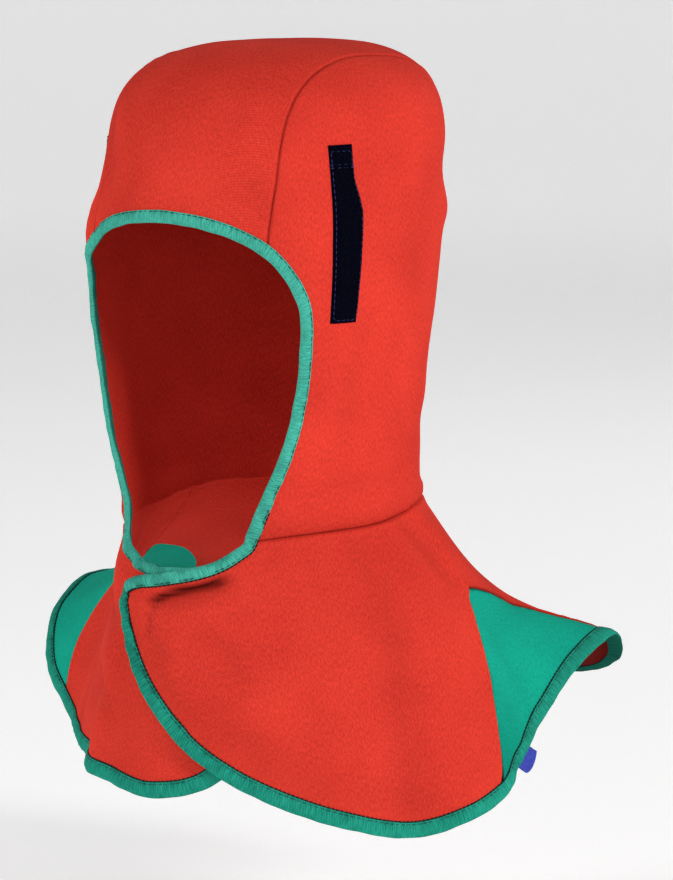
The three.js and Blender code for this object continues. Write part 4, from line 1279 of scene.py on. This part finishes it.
for side, middle in (("left", 60.0), ("right", -66.0)):
    grid, lean = tape_grid(LEFT_SIDE if side == "left" else RIGHT_SIDE, middle, 56, 15)
    name = "helmet_tape_" + side
    strip, flat = tape_strip(name, grid, lean, CLOTH / 2 + 0.05, 1.1, NAVY)
    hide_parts(name)
    top = grid + lean * (CLOTH / 2 + 1.08)
    loop = np.concatenate([top[2, 2:-2], top[2:-2, -2], top[-2, -3:1:-1], top[-3:1:-1, 1]])
    cross = [top[6, 1:-1], top[7, 1:-1]]
    stitches(name + "_stitches", [loop[:-1], *cross], NAVY_THREAD, pitch=2.8, radius=0.22)
    ground = tape_pile_ground(name + "_ground", top[1:-1, 1:-1])
    pile = grown(ground, PILE, {"Pile": PILE_YARN}, name + "_pile")
    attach(pile, "root")

# The closure between the two fronts, out of sight while they lie closed
v = np.linspace(0, 1, 22)[:, None]
u = np.linspace(0, 1, 34)[None]
angle, down = 6 + 25 * u + 0 * v, 0.16 + 0.24 * v + 0.02 * u
sunk = OVERLAP_STEP / 2
grid = cape_point(angle, down, sunk)
lean = np.cross(
    cape_point(angle, down + 0.01, sunk) - cape_point(angle, down - 0.01, sunk),
    cape_point(angle + 0.5, down, sunk) - cape_point(angle - 0.5, down, sunk),
)
closure, flat = tape_strip("closure_tape", grid, unit(lean), -0.8, 1.6, NAVY, edge_round=0.2)
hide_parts("closure_tape")

# Lines of stitches that hold the closure, seen on the left front
sewn = [
    [(-0.4, 0.16), (-2, 0.30)], [(0.9, 0.16), (-0.6, 0.30)],
    [(3, 0.34), (13, 0.413), (24.8, 0.478), (26.5, 0.40)],
]
lines = []
for (a0, v0), (a1, v1) in [ends for path in sewn for ends in zip(path, path[1:])]:
    t = np.linspace(0, 1, 40)
    places = cape_point(a0 + (a1 - a0) * t, v0 + (v1 - v0) * t)
    lines.append(on_cloth(LEFT_SIDE, places, places * [1, 1, 0], CLOTH / 2 + 0.02))
stitches("closure_stitches", lines, RED_THREAD, pitch=2.6, radius=0.2, gap=0.2)

# The tab folded behind the hem of the left gusset
hem = GRIDS["shoulder_gusset_left"][-1]
k = int(0.3375 * (len(hem) - 1))
along = unit(hem[k + 1] - hem[k - 1])
up = NORMALS["shoulder_gusset_left"][-1, k]
down_way = np.cross(along, up)
if down_way[2] > 0:
    down_way = -down_way
v = np.linspace(-1, 1, 24)[:, None, None]
u = np.linspace(-0.5, 0.5, 15)[None, :, None]
grid = hem[k] - up * (2.9 + 0.5 * np.cos(2.6 * u)) + along * u * 15.0 + down_way * (v * 9.0 + 1.0)
grid = grid + up * 3.4 * np.clip(v, 0, 1) ** 2 - down_way * 2.2 * (2 * u) ** 2
lean = np.broadcast_to(up, grid.shape)
tab, flat = tape_strip("hem_tab", grid, lean, -0.8, 1.6, BLUE, edge_round=0.35)
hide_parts("hem_tab")


# Room, light and camera
AZIMUTH, ELEVATION, AWAY = 35.0, 7.0, 2.0
FLOOR = -0.47


def room_surface():
    """A pale round floor that curves up into a low wall, well clear of the hood on every side."""
    material = plain("pale floor", (0.9, 0.9, 0.9, 1), 0.9, specular=0.5)
    shader = material.node_tree.nodes["Principled BSDF"]
    shader.inputs["Emission Color"].default_value = (1, 1, 1, 1)
    shader.inputs["Emission Strength"].default_value = 0.36
    outline = [(0.6, 0.0), (1.6, 0.0), (3.0, 0.0), (4.6, 0.0)]
    outline += [(4.6 + 1.6 * math.sin(a), 1.6 - 1.6 * math.cos(a)) for a in np.linspace(0, math.pi / 2, 14)[1:]]
    outline += [(6.2, 3.4)]
    count = 72
    points = [(0.0, 0.0, FLOOR)]
    points += [
        (away * math.cos(a), away * math.sin(a), FLOOR + high)
        for away, high in outline for a in np.linspace(0, 2 * math.pi, count, endpoint=False)
    ]
    faces = [(0, 1 + k, 1 + (k + 1) % count) for k in range(count)]
    for ring in range(len(outline) - 1):
        first = 1 + ring * count
        for k in range(count):
            after = (k + 1) % count
            faces.append((first + k, first + count + k, first + count + after, first + after))
    mesh = bpy.data.meshes.new("floor")
    mesh.from_pydata(points, [], faces)
    mesh.shade_smooth()
    mesh.materials.append(material)
    return put("floor", mesh)


room_surface()

turn, lift = math.radians(AZIMUTH), math.radians(ELEVATION)
TOWARDS = Vector((math.sin(turn) * math.cos(lift), -math.cos(turn) * math.cos(lift), math.sin(lift)))
UPWARDS = Vector((-math.sin(turn) * math.sin(lift), math.cos(turn) * math.sin(lift), math.cos(lift)))
SIDEWAYS = Vector((math.cos(turn), math.sin(turn), 0))
camera = put("camera", bpy.data.cameras.new("camera"))
camera.data.sensor_fit = "HORIZONTAL"
camera.data.sensor_width = 36.0
camera.data.lens = 224.7
camera.data.clip_start = 0.1
camera.data.clip_end = 50
camera.location = UPWARDS * -0.150 + TOWARDS * AWAY
aim = SIDEWAYS * 0.03167 - UPWARDS * 0.1886
camera.rotation_mode = "QUATERNION"
camera.rotation_quaternion = (aim - camera.location).to_track_quat("-Z", "Y")
bpy.context.scene.camera = camera


def lamp(name, azimuth, elevation, away, size, power):
    light = bpy.data.lights.new(name, "AREA")
    light.shape = "DISK"
    light.size = size
    light.energy = power
    a, e = math.radians(azimuth), math.radians(elevation)
    holder = put(name, light)
    holder.location = Vector((math.sin(a) * math.cos(e), -math.cos(a) * math.cos(e), math.sin(e))) * away
    holder.rotation_mode = "QUATERNION"
    holder.rotation_quaternion = (Vector((0, 0, -0.19)) - holder.location).to_track_quat("-Z", "Y")


lamp("key", 76, 20, 1.9, 0.45, 20)
lamp("fill", -44, 18, 2.1, 0.6, 14)
lamp("top", 30, 70, 2.2, 0.8, 2.5)
lamp("back", 190, 30, 2.4, 0.8, 7)

world = bpy.data.worlds.new("studio")
bpy.context.scene.world = world
world.use_nodes = True
sky = world.node_tree.nodes["Background"]
sky.inputs["Color"].default_value = (1, 1, 1, 1)
sky.inputs["Strength"].default_value = 0.1
bpy.context.scene.view_settings.view_transform = "Standard"
